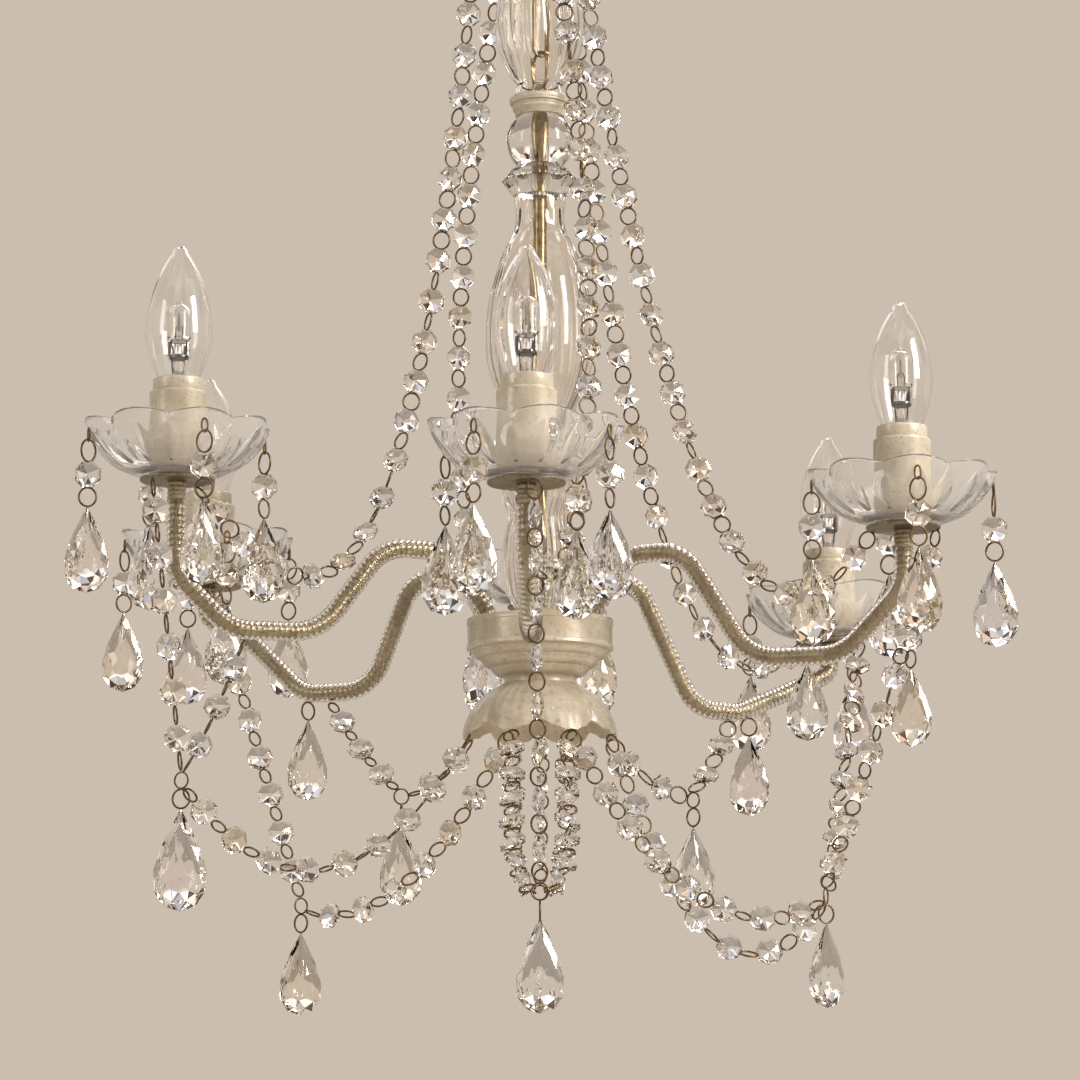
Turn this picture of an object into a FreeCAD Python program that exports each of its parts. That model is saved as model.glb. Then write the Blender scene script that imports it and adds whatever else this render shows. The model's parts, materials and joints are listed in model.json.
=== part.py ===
import FreeCAD, Part
import math
import os
import Sketcher
from FreeCAD import Placement, Rotation, Vector

# Crystal chandelier. +Z is up and the origin is the inside top of the hanging loop.
# Azimuths are counted from the front (-Y) towards the right (+X).

# Every driving dimension, in millimetres and degrees: name and value.
SIZES = [
    # hanging loop, crown and the links inside the crown vase
    ("loop_bore", 24), ("loop_wire", 4),
    ("eye_sink", 0.6), ("crown_eye_bore", 7.8), ("crown_eye_wire", 3.2), ("crown_boss_diameter", 16), ("crown_boss_height", 4),
    ("crown_diameter", 84), ("crown_dome", 10), ("crown_lip", 2.5), ("crown_hollow_diameter", 54),
    ("crown_hollow_depth", 8), ("crown_hole_circle", 76), ("crown_hole_bore", 2.6),
    ("hook_bore", 6), ("hook_wire", 2.4),
    ("long_link_width", 10.4), ("long_link_wire", 1.9),
    ("oval_link_width", 14), ("oval_link_length", 24), ("oval_link_wire", 2.1),
    ("crown_vase_foot_diameter", 30), ("crown_vase_diameter", 50), ("crown_vase_mouth_diameter", 44),
    ("crown_vase_waist_diameter", 26), ("crown_vase_clearance", 1.5),
    # column: glass pieces threaded on the centre rod
    ("hub_drop", 440), ("rod_diameter", 8), ("glass_bore", 9.2), ("glass_wall", 2.6),
    ("cap_diameter", 34), ("cap_height", 11), ("cap_eye_bore", 6.4), ("cap_eye_wire", 2.4),
    ("ball_diameter", 39), ("ball_height", 29), ("ball_end_diameter", 24),
    ("collar_diameter", 43), ("collar_height", 18), ("collar_top_diameter", 25), ("collar_foot_diameter", 30),
    ("collar_facets", 12),
    ("vase_height", 147), ("vase_diameter", 61), ("vase_neck_diameter", 30), ("vase_foot_diameter", 28),
    ("vase_belly_rise", 58),
    ("lower_vase_height", 93), ("lower_vase_top_diameter", 28), ("lower_vase_shoulder_diameter", 44),
    ("lower_vase_waist_diameter", 37), ("lower_vase_belly_diameter", 42), ("lower_vase_foot_diameter", 22),
    # hub, plate, nuts and petal dish
    ("hub_diameter", 82), ("hub_depth", 36), ("hub_band", 17), ("hub_neck_diameter", 40), ("hub_wall", 2),
    ("hub_floor", 12), ("hub_ledge", 0.7), ("plate_recess", 6), ("plate_thickness", 3), ("plate_boss_diameter", 22),
    ("plate_boss_height", 9), ("nut_size", 10), ("nut_height", 3.5),
    ("block_length", 12), ("block_width", 9), ("block_height", 8), ("block_offset", 13),
    ("petal_dish_diameter", 90), ("petal_dish_depth", 30), ("petal_dish_wall", 1.6), ("petal_radius", 19),
    ("petal_count", 8), ("petal_hole_bore", 2.4), ("petal_hole_inset", 3.2),
    ("finial_diameter", 18), ("finial_height", 12),
    # arms
    ("arm_reach", 218), ("stub_radius", 33), ("stub_depth", 15.5),
    ("arm_diameter", 7.5), ("arm_clearance", 0.35),
    ("sleeve_diameter", 10.8), ("sleeve_bore", 8.1), ("sleeve_start", 0.5),
    ("end_collar_diameter", 10), ("end_collar_height", 10), ("end_collar_grooves", 4),
    # lamp on each arm end
    ("disc_rise", 38), ("disc_diameter", 40), ("disc_thickness", 1.6), ("cup_diameter", 31),
    ("cup_foot_diameter", 28.6), ("cup_height", 49), ("cup_wall", 1.5), ("cup_ring_diameter", 27.4),
    ("cup_ring_height", 7), ("cup_ring_bore", 24.4),
    ("holder_diameter", 24), ("holder_bore", 14.16), ("holder_height", 42.5), ("holder_stem_diameter", 14),
    ("holder_stem_height", 18), ("holder_floor", 24.3), ("arm_tenon", 8),
    ("bulb_diameter", 34), ("bulb_length", 68.5), ("large_bulb", 1.08), ("bulb_neck_diameter", 21), ("bulb_tip_diameter", 9), ("bulb_tip_rise", 4),
    ("bulb_wall", 1), ("bulb_base_diameter", 14), ("bulb_base_length", 23), ("bulb_belly_rise", 27),
    ("capsule_diameter", 13), ("capsule_length", 21), ("capsule_rise", 25), ("stem_diameter", 5),
    # glass dish round each cup, and its drops
    ("bobeche_diameter", 102), ("bobeche_height", 28.8), ("bobeche_foot_diameter", 38.4), ("bobeche_wall", 2.6),
    ("bobeche_clearance", 0.1), ("bobeche_bulge", 6.5), ("bobeche_lobe_radius", 21), ("bobeche_lobes", 8),
    ("drop_hole_rise", 21.8), ("hook_length", 5.4), ("drop_ring_length", 11.4),
    # crystals: octagon beads, wire rings, almonds
    ("bead_width", 14), ("bead_depth", 7), ("link_width", 9.4), ("link_length", 9.5), ("link_wire", 0.9),
    ("almond_width", 26), ("almond_length", 46.5), ("almond_depth", 10),
    ("large_pendant", 1.17),
    ("junction_ring", 8.6), ("junction_wire", 1), ("seat_gap", 0.3), ("disc_hole_inset", 1.5),
]

# Each arm: name, azimuth, lift of its lamp over the level ring, azimuth of its first drop.
ARMS = [
    ("front", -1.8, 0, 58),
    ("front_right", 63.2, -3, 4),
    ("rear_right", 128, -33, -20),
    ("back", 180, 0, 45),
    ("rear_left", -116.7, -5, 18),
    ("front_left", -63.4, 23, 22),
]
# The arms are bent by hand, each a little differently: radius from the hub's axis, height over
# the hub's rim and bend radius at each corner of the centre line, between hub and lamp.
LEVEL_BENDS = [(54, 33, 20), (88, 33, 26), (128, -27, 32), (180, -28, 30)]
ARM_BENDS = {
    "front": LEVEL_BENDS + [(218, 6, 25)],
    "front_right": [(54, 33, 20), (88, 33, 26), (128, -29.5, 32), (182, -30.5, 30), (218, 4, 25)],
    "rear_right": [(50, 26, 14), (71, 26, 16), (112, -41.5, 25), (146, -41.5, 35), (218, -13, 9)],
    "back": LEVEL_BENDS + [(218, 6, 25)],
    "rear_left": [(50, 28, 16), (81, 28.5, 20), (107.5, -33.5, 25), (152, -33.5, 25), (188, 0, 40), (218, 15, 9)],
    "front_left": [(58.5, 34.5, 22), (96, 34.5, 28), (134, -15.5, 35), (186, -17, 30), (218, 11, 25)],
}
STUB_BEND = (3, 12)
ARM_NAMES = [arm[0] for arm in ARMS]

doc = FreeCAD.newDocument("chandelier")
sheet = doc.addObject("Spreadsheet::Sheet", "Sizes")
sheet_rows = 0


class Size:
    """A length or angle that knows its value and the sheet formula behind it."""

    def __init__(self, value, formula):
        self.value = float(value)
        self.formula = formula

    def joined(self, other, value, sign):
        return Size(value, "({} {} {})".format(self.formula, sign, as_size(other).formula))

    def __add__(self, other):
        return self.joined(other, self.value + as_size(other).value, "+")

    def __sub__(self, other):
        return self.joined(other, self.value - as_size(other).value, "-")

    def __mul__(self, other):
        return self.joined(other, self.value * as_size(other).value, "*")

    def __truediv__(self, other):
        return self.joined(other, self.value / as_size(other).value, "/")

    def __radd__(self, other):
        return as_size(other) + self

    def __rsub__(self, other):
        return as_size(other) - self

    def __rmul__(self, other):
        return as_size(other) * self


def as_size(quantity):
    if isinstance(quantity, Size):
        return quantity
    return Size(quantity, repr(float(quantity)))


def number(quantity):
    return as_size(quantity).value


def sine(angle):
    return Size(math.sin(math.radians(angle.value)), "sin({})".format(angle.formula))


def cosine(angle):
    return Size(math.cos(math.radians(angle.value)), "cos({})".format(angle.formula))


def root(quantity):
    return Size(math.sqrt(quantity.value), "sqrt({})".format(quantity.formula))


def set_cell(name, text):
    """Writes one aliased cell of the sheet."""
    global sheet_rows
    sheet_rows += 1
    cell = "B{}".format(sheet_rows)
    sheet.set("A{}".format(sheet_rows), name)
    sheet.set(cell, text)
    sheet.setAlias(cell, name)


def bind(thing, prop, quantity):
    """Binds a property to the sheet when its value depends on the sheet."""
    if isinstance(quantity, Size):
        thing.setExpression(prop, quantity.formula.replace("@", "Sizes."))


def derived(name, quantity):
    """Keeps a worked-out value in the sheet under its own name."""
    set_cell(name, "=" + quantity.formula.replace("@", ""))
    return Size(quantity.value, "@" + name)


size = {}
for size_name, size_value in SIZES:
    set_cell(size_name, str(size_value))
    size[size_name] = Size(size_value, "@" + size_name)
for arm_name, azimuth, lift, drop_azimuth in ARMS:
    for word, value in (("turn", azimuth), ("lift", lift), ("drops", drop_azimuth)):
        key = "{}_{}".format(word, arm_name)
        set_cell(key, str(value))
        size[key] = Size(value, "@" + key)
doc.recompute()


def radius(name):
    return size[name] / 2


def value(name):
    return size[name].value


# ---------------------------------------------------------------- building helpers

def place(thing, x=0, y=0, z=0, turn=0):
    """Places an object and binds each coordinate that comes from the sheet."""
    thing.Placement = Placement(Vector(number(x), number(y), number(z)), Rotation(Vector(0, 0, 1), number(turn)))
    for prop, quantity in (("Base.x", x), ("Base.y", y), ("Base.z", z), ("Rotation.Angle", turn)):
        bind(thing, "Placement." + prop, quantity)
    return thing


def plane(body, role):
    return [feature for feature in body.Origin.OriginFeatures if feature.Role == role][0]


def new_sketch(body, name, role):
    sketch = body.newObject("Sketcher::SketchObject", name)
    sketch.AttachmentSupport = (plane(body, role), [""])
    sketch.MapMode = "FlatFace"
    return sketch


def arc_centre(start, end, sagitta):
    """Centre and radius of the arc from start to end that bulges by sagitta to the right of its way."""
    chord = end - start
    outward = Vector(chord.y, -chord.x, 0).normalize()
    arc_radius = chord.Length ** 2 / (8 * abs(sagitta)) + abs(sagitta) / 2
    return (start + end) / 2 + outward * (sagitta - math.copysign(arc_radius, sagitta)), arc_radius


def pin_point(sketch, geometry, position, x, y):
    """Fixes one end point of an edge at sheet-driven distances from the sketch's origin."""
    for kind, quantity, axis in (("DistanceX", x, -2), ("DistanceY", y, -1)):
        if number(quantity) == 0:
            sketch.addConstraint(Sketcher.Constraint("PointOnObject", geometry, position, axis))
        else:
            index = sketch.addConstraint(
                Sketcher.Constraint(kind, -1, 1, geometry, position, number(quantity)))
            bind(sketch, "Constraints[{}]".format(index), quantity)


def draw_outline(sketch, corners):
    """Draws a closed outline of (x, y) or (x, y, sagitta of the edge that starts there) corners."""
    ends = []
    for index, corner in enumerate(corners):
        following = corners[(index + 1) % len(corners)]
        start = Vector(number(corner[0]), number(corner[1]), 0)
        end = Vector(number(following[0]), number(following[1]), 0)
        if len(corner) == 2:
            edge = sketch.addGeometry(Part.LineSegment(start, end))
            ends.append((edge, 1, 2))
            continue
        centre, arc_radius = arc_centre(start, end, number(corner[2]))
        first, last = (start, end) if number(corner[2]) > 0 else (end, start)
        circle = Part.Circle(centre, Vector(0, 0, 1), arc_radius)
        angles = [math.atan2(point.y - centre.y, point.x - centre.x) for point in (first, last)]
        if angles[1] < angles[0]:
            angles[1] += 2 * math.pi
        edge = sketch.addGeometry(Part.ArcOfCircle(circle, angles[0], angles[1]))
        ends.append((edge, 1, 2) if number(corner[2]) > 0 else (edge, 2, 1))
        run = as_size(following[0]) - corner[0]
        rise = as_size(following[1]) - corner[1]
        depth = as_size(corner[2]) * math.copysign(1, number(corner[2]))
        index = sketch.addConstraint(Sketcher.Constraint("Radius", edge, arc_radius))
        bind(sketch, "Constraints[{}]".format(index), (run * run + rise * rise) / (depth * 8) + depth / 2)
    for index, corner in enumerate(corners):
        edge, start, _ = ends[index]
        before, _, end = ends[index - 1]
        sketch.addConstraint(Sketcher.Constraint("Coincident", before, end, edge, start))
        pin_point(sketch, edge, start, corner[0], corner[1])


def turned(name, corners):
    """A body turned about the upright axis from its half outline of (radius, height) corners."""
    body = doc.addObject("PartDesign::Body", name)
    sketch = new_sketch(body, name + "_outline", "XZ_Plane")
    draw_outline(sketch, corners)
    turn = body.newObject("PartDesign::Revolution", name + "_turn")
    turn.Profile = sketch
    turn.ReferenceAxis = (sketch, ["V_Axis"])
    turn.Angle = 360
    return body


def dome(across, rise):
    """Sagitta of the arc from the axis' top to a radius, that makes a round dome of the given rise."""
    chord = across * across + rise * rise
    dome_radius = chord / (rise * 2)
    return dome_radius - root(dome_radius * dome_radius - chord / 4)


def blown(name, outer, wall):
    """A hollow glass body: its outer half outline, and the same line a wall further in."""
    inner = []
    for index in range(len(outer) - 1, -1, -1):
        corner = (outer[index][0] - wall, outer[index][1])
        if index > 0 and len(outer[index - 1]) == 3:
            corner += (outer[index - 1][2] * -1,)
        inner.append(corner)
    outside = [corner for corner in outer[:-1]] + [outer[-1][:2]]
    return turned(name, outside + inner)


def primitive(kind, name, **properties):
    thing = doc.addObject("Part::" + kind, name)
    for prop, quantity in properties.items():
        setattr(thing, prop, type(getattr(thing, prop))(number(quantity)))
        bind(thing, prop, quantity)
    return thing


def cylinder(name, across, height, x=0, y=0, z=0):
    return place(primitive("Cylinder", name, Radius=across / 2, Height=height), x, y, z)


def standing_ring(name, bore, wire, z, turn):
    """A wire ring that stands upright, its plane turned about Z."""
    ring = primitive("Torus", name, Radius1=(bore + wire) / 2, Radius2=wire / 2)
    ring.Placement = Placement(Vector(0, 0, number(z)), Rotation(Vector(0, 0, 1), turn) * Rotation(Vector(1, 0, 0), 90))
    bind(ring, "Placement.Base.z", z)
    return ring


def fused(name, pieces):
    fuse = doc.addObject("Part::MultiFuse", name)
    fuse.Shapes = pieces
    return fuse


def cut(name, base, tool):
    result = doc.addObject("Part::Cut", name)
    result.Base = base
    result.Tool = tool
    return result


def common(name, pieces):
    result = doc.addObject("Part::MultiCommon", name)
    result.Shapes = pieces
    return result


def group(name, pieces):
    """Separate solids that share one node."""
    compound = doc.addObject("Part::Compound", name)
    compound.Links = pieces
    return compound


def lobed_column(name, outer_diameter, lobe_radius, count, height, first_azimuth):
    """An upright prism whose outline is a ring of round lobes."""
    centre_distance = outer_diameter / 2 - lobe_radius
    pieces = [cylinder(name + "_core", centre_distance * 2, height)]
    for index in range(count):
        azimuth = math.radians(first_azimuth + 360.0 * index / count)
        pieces.append(cylinder("{}_lobe_{}".format(name, index + 1), lobe_radius * 2, height,
                               centre_distance * math.sin(azimuth), centre_distance * -math.cos(azimuth)))
    return fused(name, pieces)


def solid_of(points, faces):
    """A closed solid with flat faces."""
    sides = [Part.Face(Part.makePolygon([points[i] for i in face] + [points[face[0]]])) for face in faces]
    solid = Part.Solid(Part.Shell(sides))
    if solid.Volume < 0:
        solid.reverse()
    return solid


def feature(name, shapes, where=None):
    thing = doc.addObject("Part::Feature", name)
    thing.Shape = Part.makeCompound(shapes)
    thing.Placement = where or Placement()
    return thing


nodes = {}


def keep(name, thing):
    thing.Label = name
    nodes[name] = thing
    return thing


def hub_level(height):
    """A height over the hub's top rim, as a height in the part's frame."""
    return as_size(height) - size["hub_drop"]


# ---------------------------------------------------------------- hanging loop and crown

loop_low = (size["loop_bore"] + size["loop_wire"] / 2) * -1
keep("hanging_loop", standing_ring("loop_ring", size["loop_bore"], size["loop_wire"], radius("loop_bore") * -1, 0))

wire_gap = size["seat_gap"]
eye_top = loop_low + (size["loop_wire"] + size["crown_eye_wire"]) / 2 + wire_gap
eye_centre = eye_top - (size["crown_eye_bore"] + size["crown_eye_wire"]) / 2
sunk = size["eye_sink"]
crown_top = derived("crown_top", eye_centre - radius("crown_eye_bore") - sunk)
crown_height = size["crown_dome"] + size["crown_lip"] + size["crown_boss_height"]
crown_foot = derived("crown_foot", crown_top - crown_height)

crown_body = place(turned("crown_body", [
    (radius("crown_hollow_diameter"), 0),
    (radius("crown_diameter"), 0),
    (radius("crown_diameter"), size["crown_lip"], -5),
    (radius("crown_boss_diameter"), size["crown_lip"] + size["crown_dome"]),
    (radius("crown_boss_diameter"), crown_height),
    (0, crown_height),
    (0, size["crown_hollow_depth"]),
    (radius("crown_boss_diameter"), size["crown_hollow_depth"], 2),
]), z=crown_foot)
hook_centre = crown_foot + size["crown_hollow_depth"] - radius("hook_bore") - sunk
LINK_TURNS = {"hook": -50, "long": 30, "oval": -50, "eye": 30}
crown_solid = fused("crown_solid", [
    crown_body,
    standing_ring("crown_eye", size["crown_eye_bore"], size["crown_eye_wire"], eye_centre, 90),
    standing_ring("crown_hook", size["hook_bore"], size["hook_wire"], hook_centre, LINK_TURNS["hook"]),
])
# Upper strands: arm, crown hole's azimuth, azimuth of the hole in the arm's disc, sag, lag, sideways bow.
# The rear left arm carries none.
UPPER_STRANDS = [
    ("front", 10, 185, 170, 1.2, -24),
    ("front_right", 35, 240, 160, 1.15, -16),
    ("rear_right", 150, 308, 150, 1.4, 6),
    ("back", -145, 0, 170, 0.9, -34),
    ("front_left", -80, 150, 168, 1.7, 24),
]
crown_holes = []
for arm_name, azimuth, _, _, _, _ in UPPER_STRANDS:
    crown_holes.append(cylinder("crown_hole_" + arm_name, size["crown_hole_bore"], crown_height,
                                radius("crown_hole_circle") * math.sin(math.radians(azimuth)),
                                radius("crown_hole_circle") * -math.cos(math.radians(azimuth)), crown_foot - 1))
keep("crown", cut("crown_drilled", crown_solid, group("crown_holes", crown_holes)))

# ---------------------------------------------------------------- column levels, from the hub's plate upwards

stack_foot = derived("stack_foot", hub_level(size["plate_boss_height"] - size["plate_recess"]))
vase_foot = derived("vase_foot", stack_foot + size["lower_vase_height"])
collar_foot = derived("collar_foot", vase_foot + size["vase_height"])
ball_foot = derived("ball_foot", collar_foot + size["collar_height"])
cap_foot = derived("cap_foot", ball_foot + size["ball_height"])
cap_top = derived("cap_top", cap_foot + size["cap_height"])

# ---------------------------------------------------------------- links and crown vase


def chain_link(name, straight, width, wire, top, turn):
    """A long wire link: two half rings and two straight sides, hung from its top wire's middle."""
    bend = (width - wire) / 2
    pieces = []
    for word, level, tilt in (("upper", 0, 90), ("lower", straight * -1, -90)):
        half = primitive("Torus", "{}_{}".format(name, word), Radius1=bend, Radius2=wire / 2, Angle3=180)
        half.Placement = Placement(Vector(0, 0, number(level)), Rotation(Vector(1, 0, 0), tilt))
        bind(half, "Placement.Base.z", level)
        pieces.append(half)
    for word, side in (("left", bend * -1), ("right", bend)):
        pieces.append(cylinder("{}_{}".format(name, word), wire, straight, side, 0, straight * -1))
    return place(fused(name + "_wire", pieces), 0, 0, top - bend, turn)


cap_eye_centre = cap_top + radius("cap_eye_bore") + sunk
cap_eye_top = cap_eye_centre + (size["cap_eye_bore"] + size["cap_eye_wire"]) / 2
oval_low = cap_eye_top - (size["cap_eye_wire"] + size["oval_link_wire"]) / 2 - wire_gap
oval_top = derived("oval_top", oval_low + size["oval_link_length"] - size["oval_link_wire"])
long_low = oval_top - (size["oval_link_wire"] + size["long_link_wire"]) / 2 - wire_gap
hook_low = hook_centre - (size["hook_bore"] + size["hook_wire"]) / 2
long_top = derived("long_top", hook_low + (size["hook_wire"] + size["long_link_wire"]) / 2 + wire_gap)
long_straight = derived("long_straight", long_top - long_low - (size["long_link_width"] - size["long_link_wire"]))
keep("long_link", chain_link("long_link", long_straight, size["long_link_width"], size["long_link_wire"],
                             long_top, LINK_TURNS["long"]))
oval_straight = size["oval_link_length"] - size["oval_link_width"]
keep("oval_link", chain_link("oval_link", oval_straight, size["oval_link_width"], size["oval_link_wire"],
                             oval_top, LINK_TURNS["oval"]))

crown_vase_height = derived("crown_vase_height",
                            crown_foot - size["crown_vase_clearance"] - cap_top - size["seat_gap"])
keep("crown_vase", place(blown("crown_vase_glass", [
    (radius("crown_vase_foot_diameter"), 0),
    (radius("crown_vase_waist_diameter"), crown_vase_height * 0.08, 5),
    (radius("crown_vase_diameter"), crown_vase_height * 0.6, 1.5),
    (radius("crown_vase_mouth_diameter"), crown_vase_height),
], size["glass_wall"]), z=cap_top + size["seat_gap"]))

# ---------------------------------------------------------------- column

cap_body = place(turned("cap_body", [
    (0, 0),
    (radius("cap_diameter") * 0.82, 0),
    (radius("cap_diameter") * 0.86, size["cap_height"] * 0.25, 0.8),
    (radius("cap_diameter") * 0.9, size["cap_height"] * 0.5),
    (radius("cap_diameter"), size["cap_height"] * 0.65, 0.6),
    (radius("cap_diameter"), size["cap_height"]),
    (0, size["cap_height"]),
]), z=cap_foot)
keep("column_cap", fused("cap_with_eye", [
    cap_body,
    standing_ring("cap_eye", size["cap_eye_bore"], size["cap_eye_wire"], cap_eye_centre, LINK_TURNS["eye"]),
]))

rod_foot = hub_level((size["hub_depth"] + size["finial_height"]) * -1)
keep("centre_rod", cylinder("rod", size["rod_diameter"], cap_foot - rod_foot, z=rod_foot))

ball_end = radius("ball_end_diameter")
keep("glass_ball", place(turned("ball", [
    (radius("glass_bore"), 0),
    (ball_end, 0, radius("ball_diameter") - ball_end),
    (ball_end, size["ball_height"]),
    (radius("glass_bore"), size["ball_height"]),
]), z=ball_foot))


def facet_ring(name, across, height):
    ring = primitive("RegularPolygon", name, Polygon=size["collar_facets"], Circumradius=across / 2)
    return place(ring, z=height)


collar_loft = doc.addObject("Part::Loft", "collar_cut_glass")
collar_loft.Sections = [
    facet_ring("collar_foot_facets", size["collar_foot_diameter"], as_size(0)),
    facet_ring("collar_girdle_facets", size["collar_diameter"], size["collar_height"] * 0.5),
    facet_ring("collar_shoulder_facets", size["collar_diameter"] * 0.86, size["collar_height"] * 0.78),
    facet_ring("collar_top_facets", size["collar_top_diameter"], size["collar_height"]),
]
collar_loft.Solid = True
collar_loft.Ruled = True
collar_bore = cylinder("collar_bore", size["glass_bore"], size["collar_height"] * 2, z=size["collar_height"] * -0.5)
keep("glass_collar", place(cut("collar_bored", collar_loft, collar_bore), z=collar_foot))

keep("column_vase", place(blown("vase_glass", [
    (radius("vase_foot_diameter"), 0, -1.5),
    (radius("vase_diameter") * 0.74, size["vase_belly_rise"] * 0.5, 1.6),
    (radius("vase_diameter"), size["vase_belly_rise"], 5),
    (radius("vase_neck_diameter"), size["vase_height"] * 0.86, -0.8),
    (radius("vase_neck_diameter"), size["vase_height"]),
], size["glass_wall"]), z=vase_foot))

keep("lower_vase", place(blown("lower_vase_glass", [
    (radius("lower_vase_foot_diameter"), 0, 2.5),
    (radius("lower_vase_belly_diameter"), size["lower_vase_height"] * 0.27, 1.5),
    (radius("lower_vase_waist_diameter"), size["lower_vase_height"] * 0.55, -1.2),
    (radius("lower_vase_shoulder_diameter"), size["lower_vase_height"] * 0.71, 4),
    (radius("lower_vase_top_diameter"), size["lower_vase_height"]),
], size["glass_wall"]), z=stack_foot))

# ---------------------------------------------------------------- hub, plate and petal dish

hub_rim = radius("hub_diameter")
hub_neck = radius("hub_neck_diameter")
hub_depth = size["hub_depth"]
band_foot = hub_depth - size["hub_band"]
hub_inside = hub_rim - size["hub_wall"]
ledge_inside = hub_inside - size["hub_ledge"]
ledge_level = hub_depth - size["plate_recess"] - size["plate_thickness"]
step = (hub_rim - hub_neck) / 4
keep("hub", place(turned("hub_bowl", [
    (radius("glass_bore"), 0),
    (hub_neck, 0, -0.6),
    (hub_neck + step * 0.2, band_foot * 0.22, 1.0),
    (hub_neck + step * 1.3, band_foot * 0.38),
    (hub_neck + step * 1.5, band_foot * 0.46, 1.0),
    (hub_neck + step * 2.4, band_foot * 0.66),
    (hub_neck + step * 2.6, band_foot * 0.74, 0.9),
    (hub_neck + step * 3.4, band_foot * 0.92),
    (hub_rim, band_foot),
    (hub_rim, hub_depth - 1.2, 0.5),
    (hub_rim - 0.6, hub_depth),
    (hub_inside, hub_depth),
    (hub_inside, ledge_level),
    (ledge_inside, ledge_level),
    (ledge_inside, band_foot + 1),
    (hub_neck + step, size["hub_floor"]),
    (radius("glass_bore"), size["hub_floor"]),
]), z=hub_level(hub_depth * -1)))

plate_foot = hub_level((size["plate_recess"] + size["plate_thickness"]) * -1)
plate_body = turned("plate_body", [
    (radius("glass_bore"), 0),
    (hub_inside - size["seat_gap"] / 3, 0),
    (hub_inside - size["seat_gap"] / 3, size["plate_thickness"]),
    (radius("plate_boss_diameter"), size["plate_thickness"]),
    (radius("plate_boss_diameter"), size["plate_thickness"] + size["plate_boss_height"]),
    (radius("glass_bore"), size["plate_thickness"] + size["plate_boss_height"]),
])
arm_bore = size["arm_diameter"] + size["arm_clearance"] * 2
plate_holes = []
for arm_name in ARM_NAMES:
    turn = size["turn_" + arm_name]
    plate_holes.append(cylinder("plate_hole_" + arm_name, arm_bore + 1, size["plate_thickness"] * 3,
                                size["stub_radius"] * sine(turn), size["stub_radius"] * cosine(turn) * -1,
                                size["plate_thickness"] * -1))
keep("hub_plate", place(cut("plate_drilled", plate_body, group("plate_holes", plate_holes)), z=plate_foot))

nut_prism = primitive("Prism", "nut_prism", Polygon=6, Circumradius=radius("nut_size"), Height=size["nut_height"])
nut_bore = cylinder("nut_bore", arm_bore, size["nut_height"] * 2, z=size["nut_height"] * -0.5)
nut = cut("nut", nut_prism, nut_bore)
arm_nuts = []
for arm_name in ARM_NAMES:
    turn = size["turn_" + arm_name]
    arm_nuts.append(place(group("nut_" + arm_name, [nut]), size["stub_radius"] * sine(turn),
                          size["stub_radius"] * cosine(turn) * -1, plate_foot - size["nut_height"], turn))
keep("arm_nuts", group("arm_nut_set", arm_nuts))

block = primitive("Box", "block_body", Length=size["block_length"], Width=size["block_width"],
                  Height=size["block_height"])
keep("terminal_block", place(block, size["block_offset"] - size["block_length"] / 2, size["block_width"] * -0.5,
                             hub_level(size["hub_floor"] - hub_depth)))

dish_foot = hub_level((hub_depth + size["petal_dish_depth"]) * -1)
dish_depth = size["petal_dish_depth"]
dish_rim = radius("petal_dish_diameter")
dish_wall = size["petal_dish_wall"]
dish_bell = turned("dish_bell", [
    (dish_rim - dish_wall, 0),
    (dish_rim, 0, 4.5),
    (hub_neck, dish_depth),
    (radius("glass_bore"), dish_depth),
    (radius("glass_bore"), dish_depth - dish_wall),
    (hub_neck - dish_wall, dish_depth - dish_wall, -4.5),
])
petal_count = int(value("petal_count"))
petal_azimuths = [180.0 / petal_count + 360.0 * index / petal_count for index in range(petal_count)]
petals = lobed_column("petal_prism", size["petal_dish_diameter"], size["petal_radius"], petal_count,
                      dish_depth, petal_azimuths[0])
petal_hole_radius = dish_rim - size["petal_hole_inset"]
petal_holes = []
for index, azimuth in enumerate(petal_azimuths):
    angle = math.radians(azimuth)
    petal_holes.append(cylinder("petal_hole_{}".format(index + 1), size["petal_hole_bore"], dish_depth,
                                petal_hole_radius * math.sin(angle), petal_hole_radius * -math.cos(angle)))
keep("petal_dish", place(cut("dish_drilled", common("dish_petals", [dish_bell, petals]),
                             group("petal_holes", petal_holes)), z=dish_foot))

keep("finial_nut", place(turned("finial", [
    (radius("rod_diameter") + 0.1, 0),
    (radius("finial_diameter") * 0.6, 0, 1),
    (radius("finial_diameter"), size["finial_height"] * 0.5, 0.8),
    (radius("finial_diameter") * 0.8, size["finial_height"] - dish_wall),
    (radius("rod_diameter") + 0.1, size["finial_height"] - dish_wall),
]), z=rod_foot))

# ---------------------------------------------------------------- arms

disc_level = {}
for arm_name in ARM_NAMES:
    disc_level[arm_name] = derived("disc_level_" + arm_name, size["disc_rise"] + size["lift_" + arm_name])


for arm_name in ARM_NAMES:
    bends = [("stub", STUB_BEND[0], STUB_BEND[1])] + ARM_BENDS[arm_name]
    for index, (out, height, bend) in enumerate(bends):
        for word, amount in (("r", out), ("h", height), ("bend", bend)):
            if not isinstance(amount, str):
                key = "{}_{}_{}".format(arm_name, word, index)
                set_cell(key, str(amount))
                size[key] = Size(amount, "@" + key)


def arm_line(arm_name, top):
    """Corners of an arm's centre line in its own upright plane, with a bend radius at each."""
    corners = [(size["stub_radius"], size["stub_depth"] * -1, None)]
    for index in range(len(ARM_BENDS[arm_name]) + 1):
        out = size["stub_radius"] if index == 0 else size["{}_r_{}".format(arm_name, index)]
        corners.append((out, size["{}_h_{}".format(arm_name, index)], size["{}_bend_{}".format(arm_name, index)]))
    corners.append((size["arm_reach"], top, None))
    return corners


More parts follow.
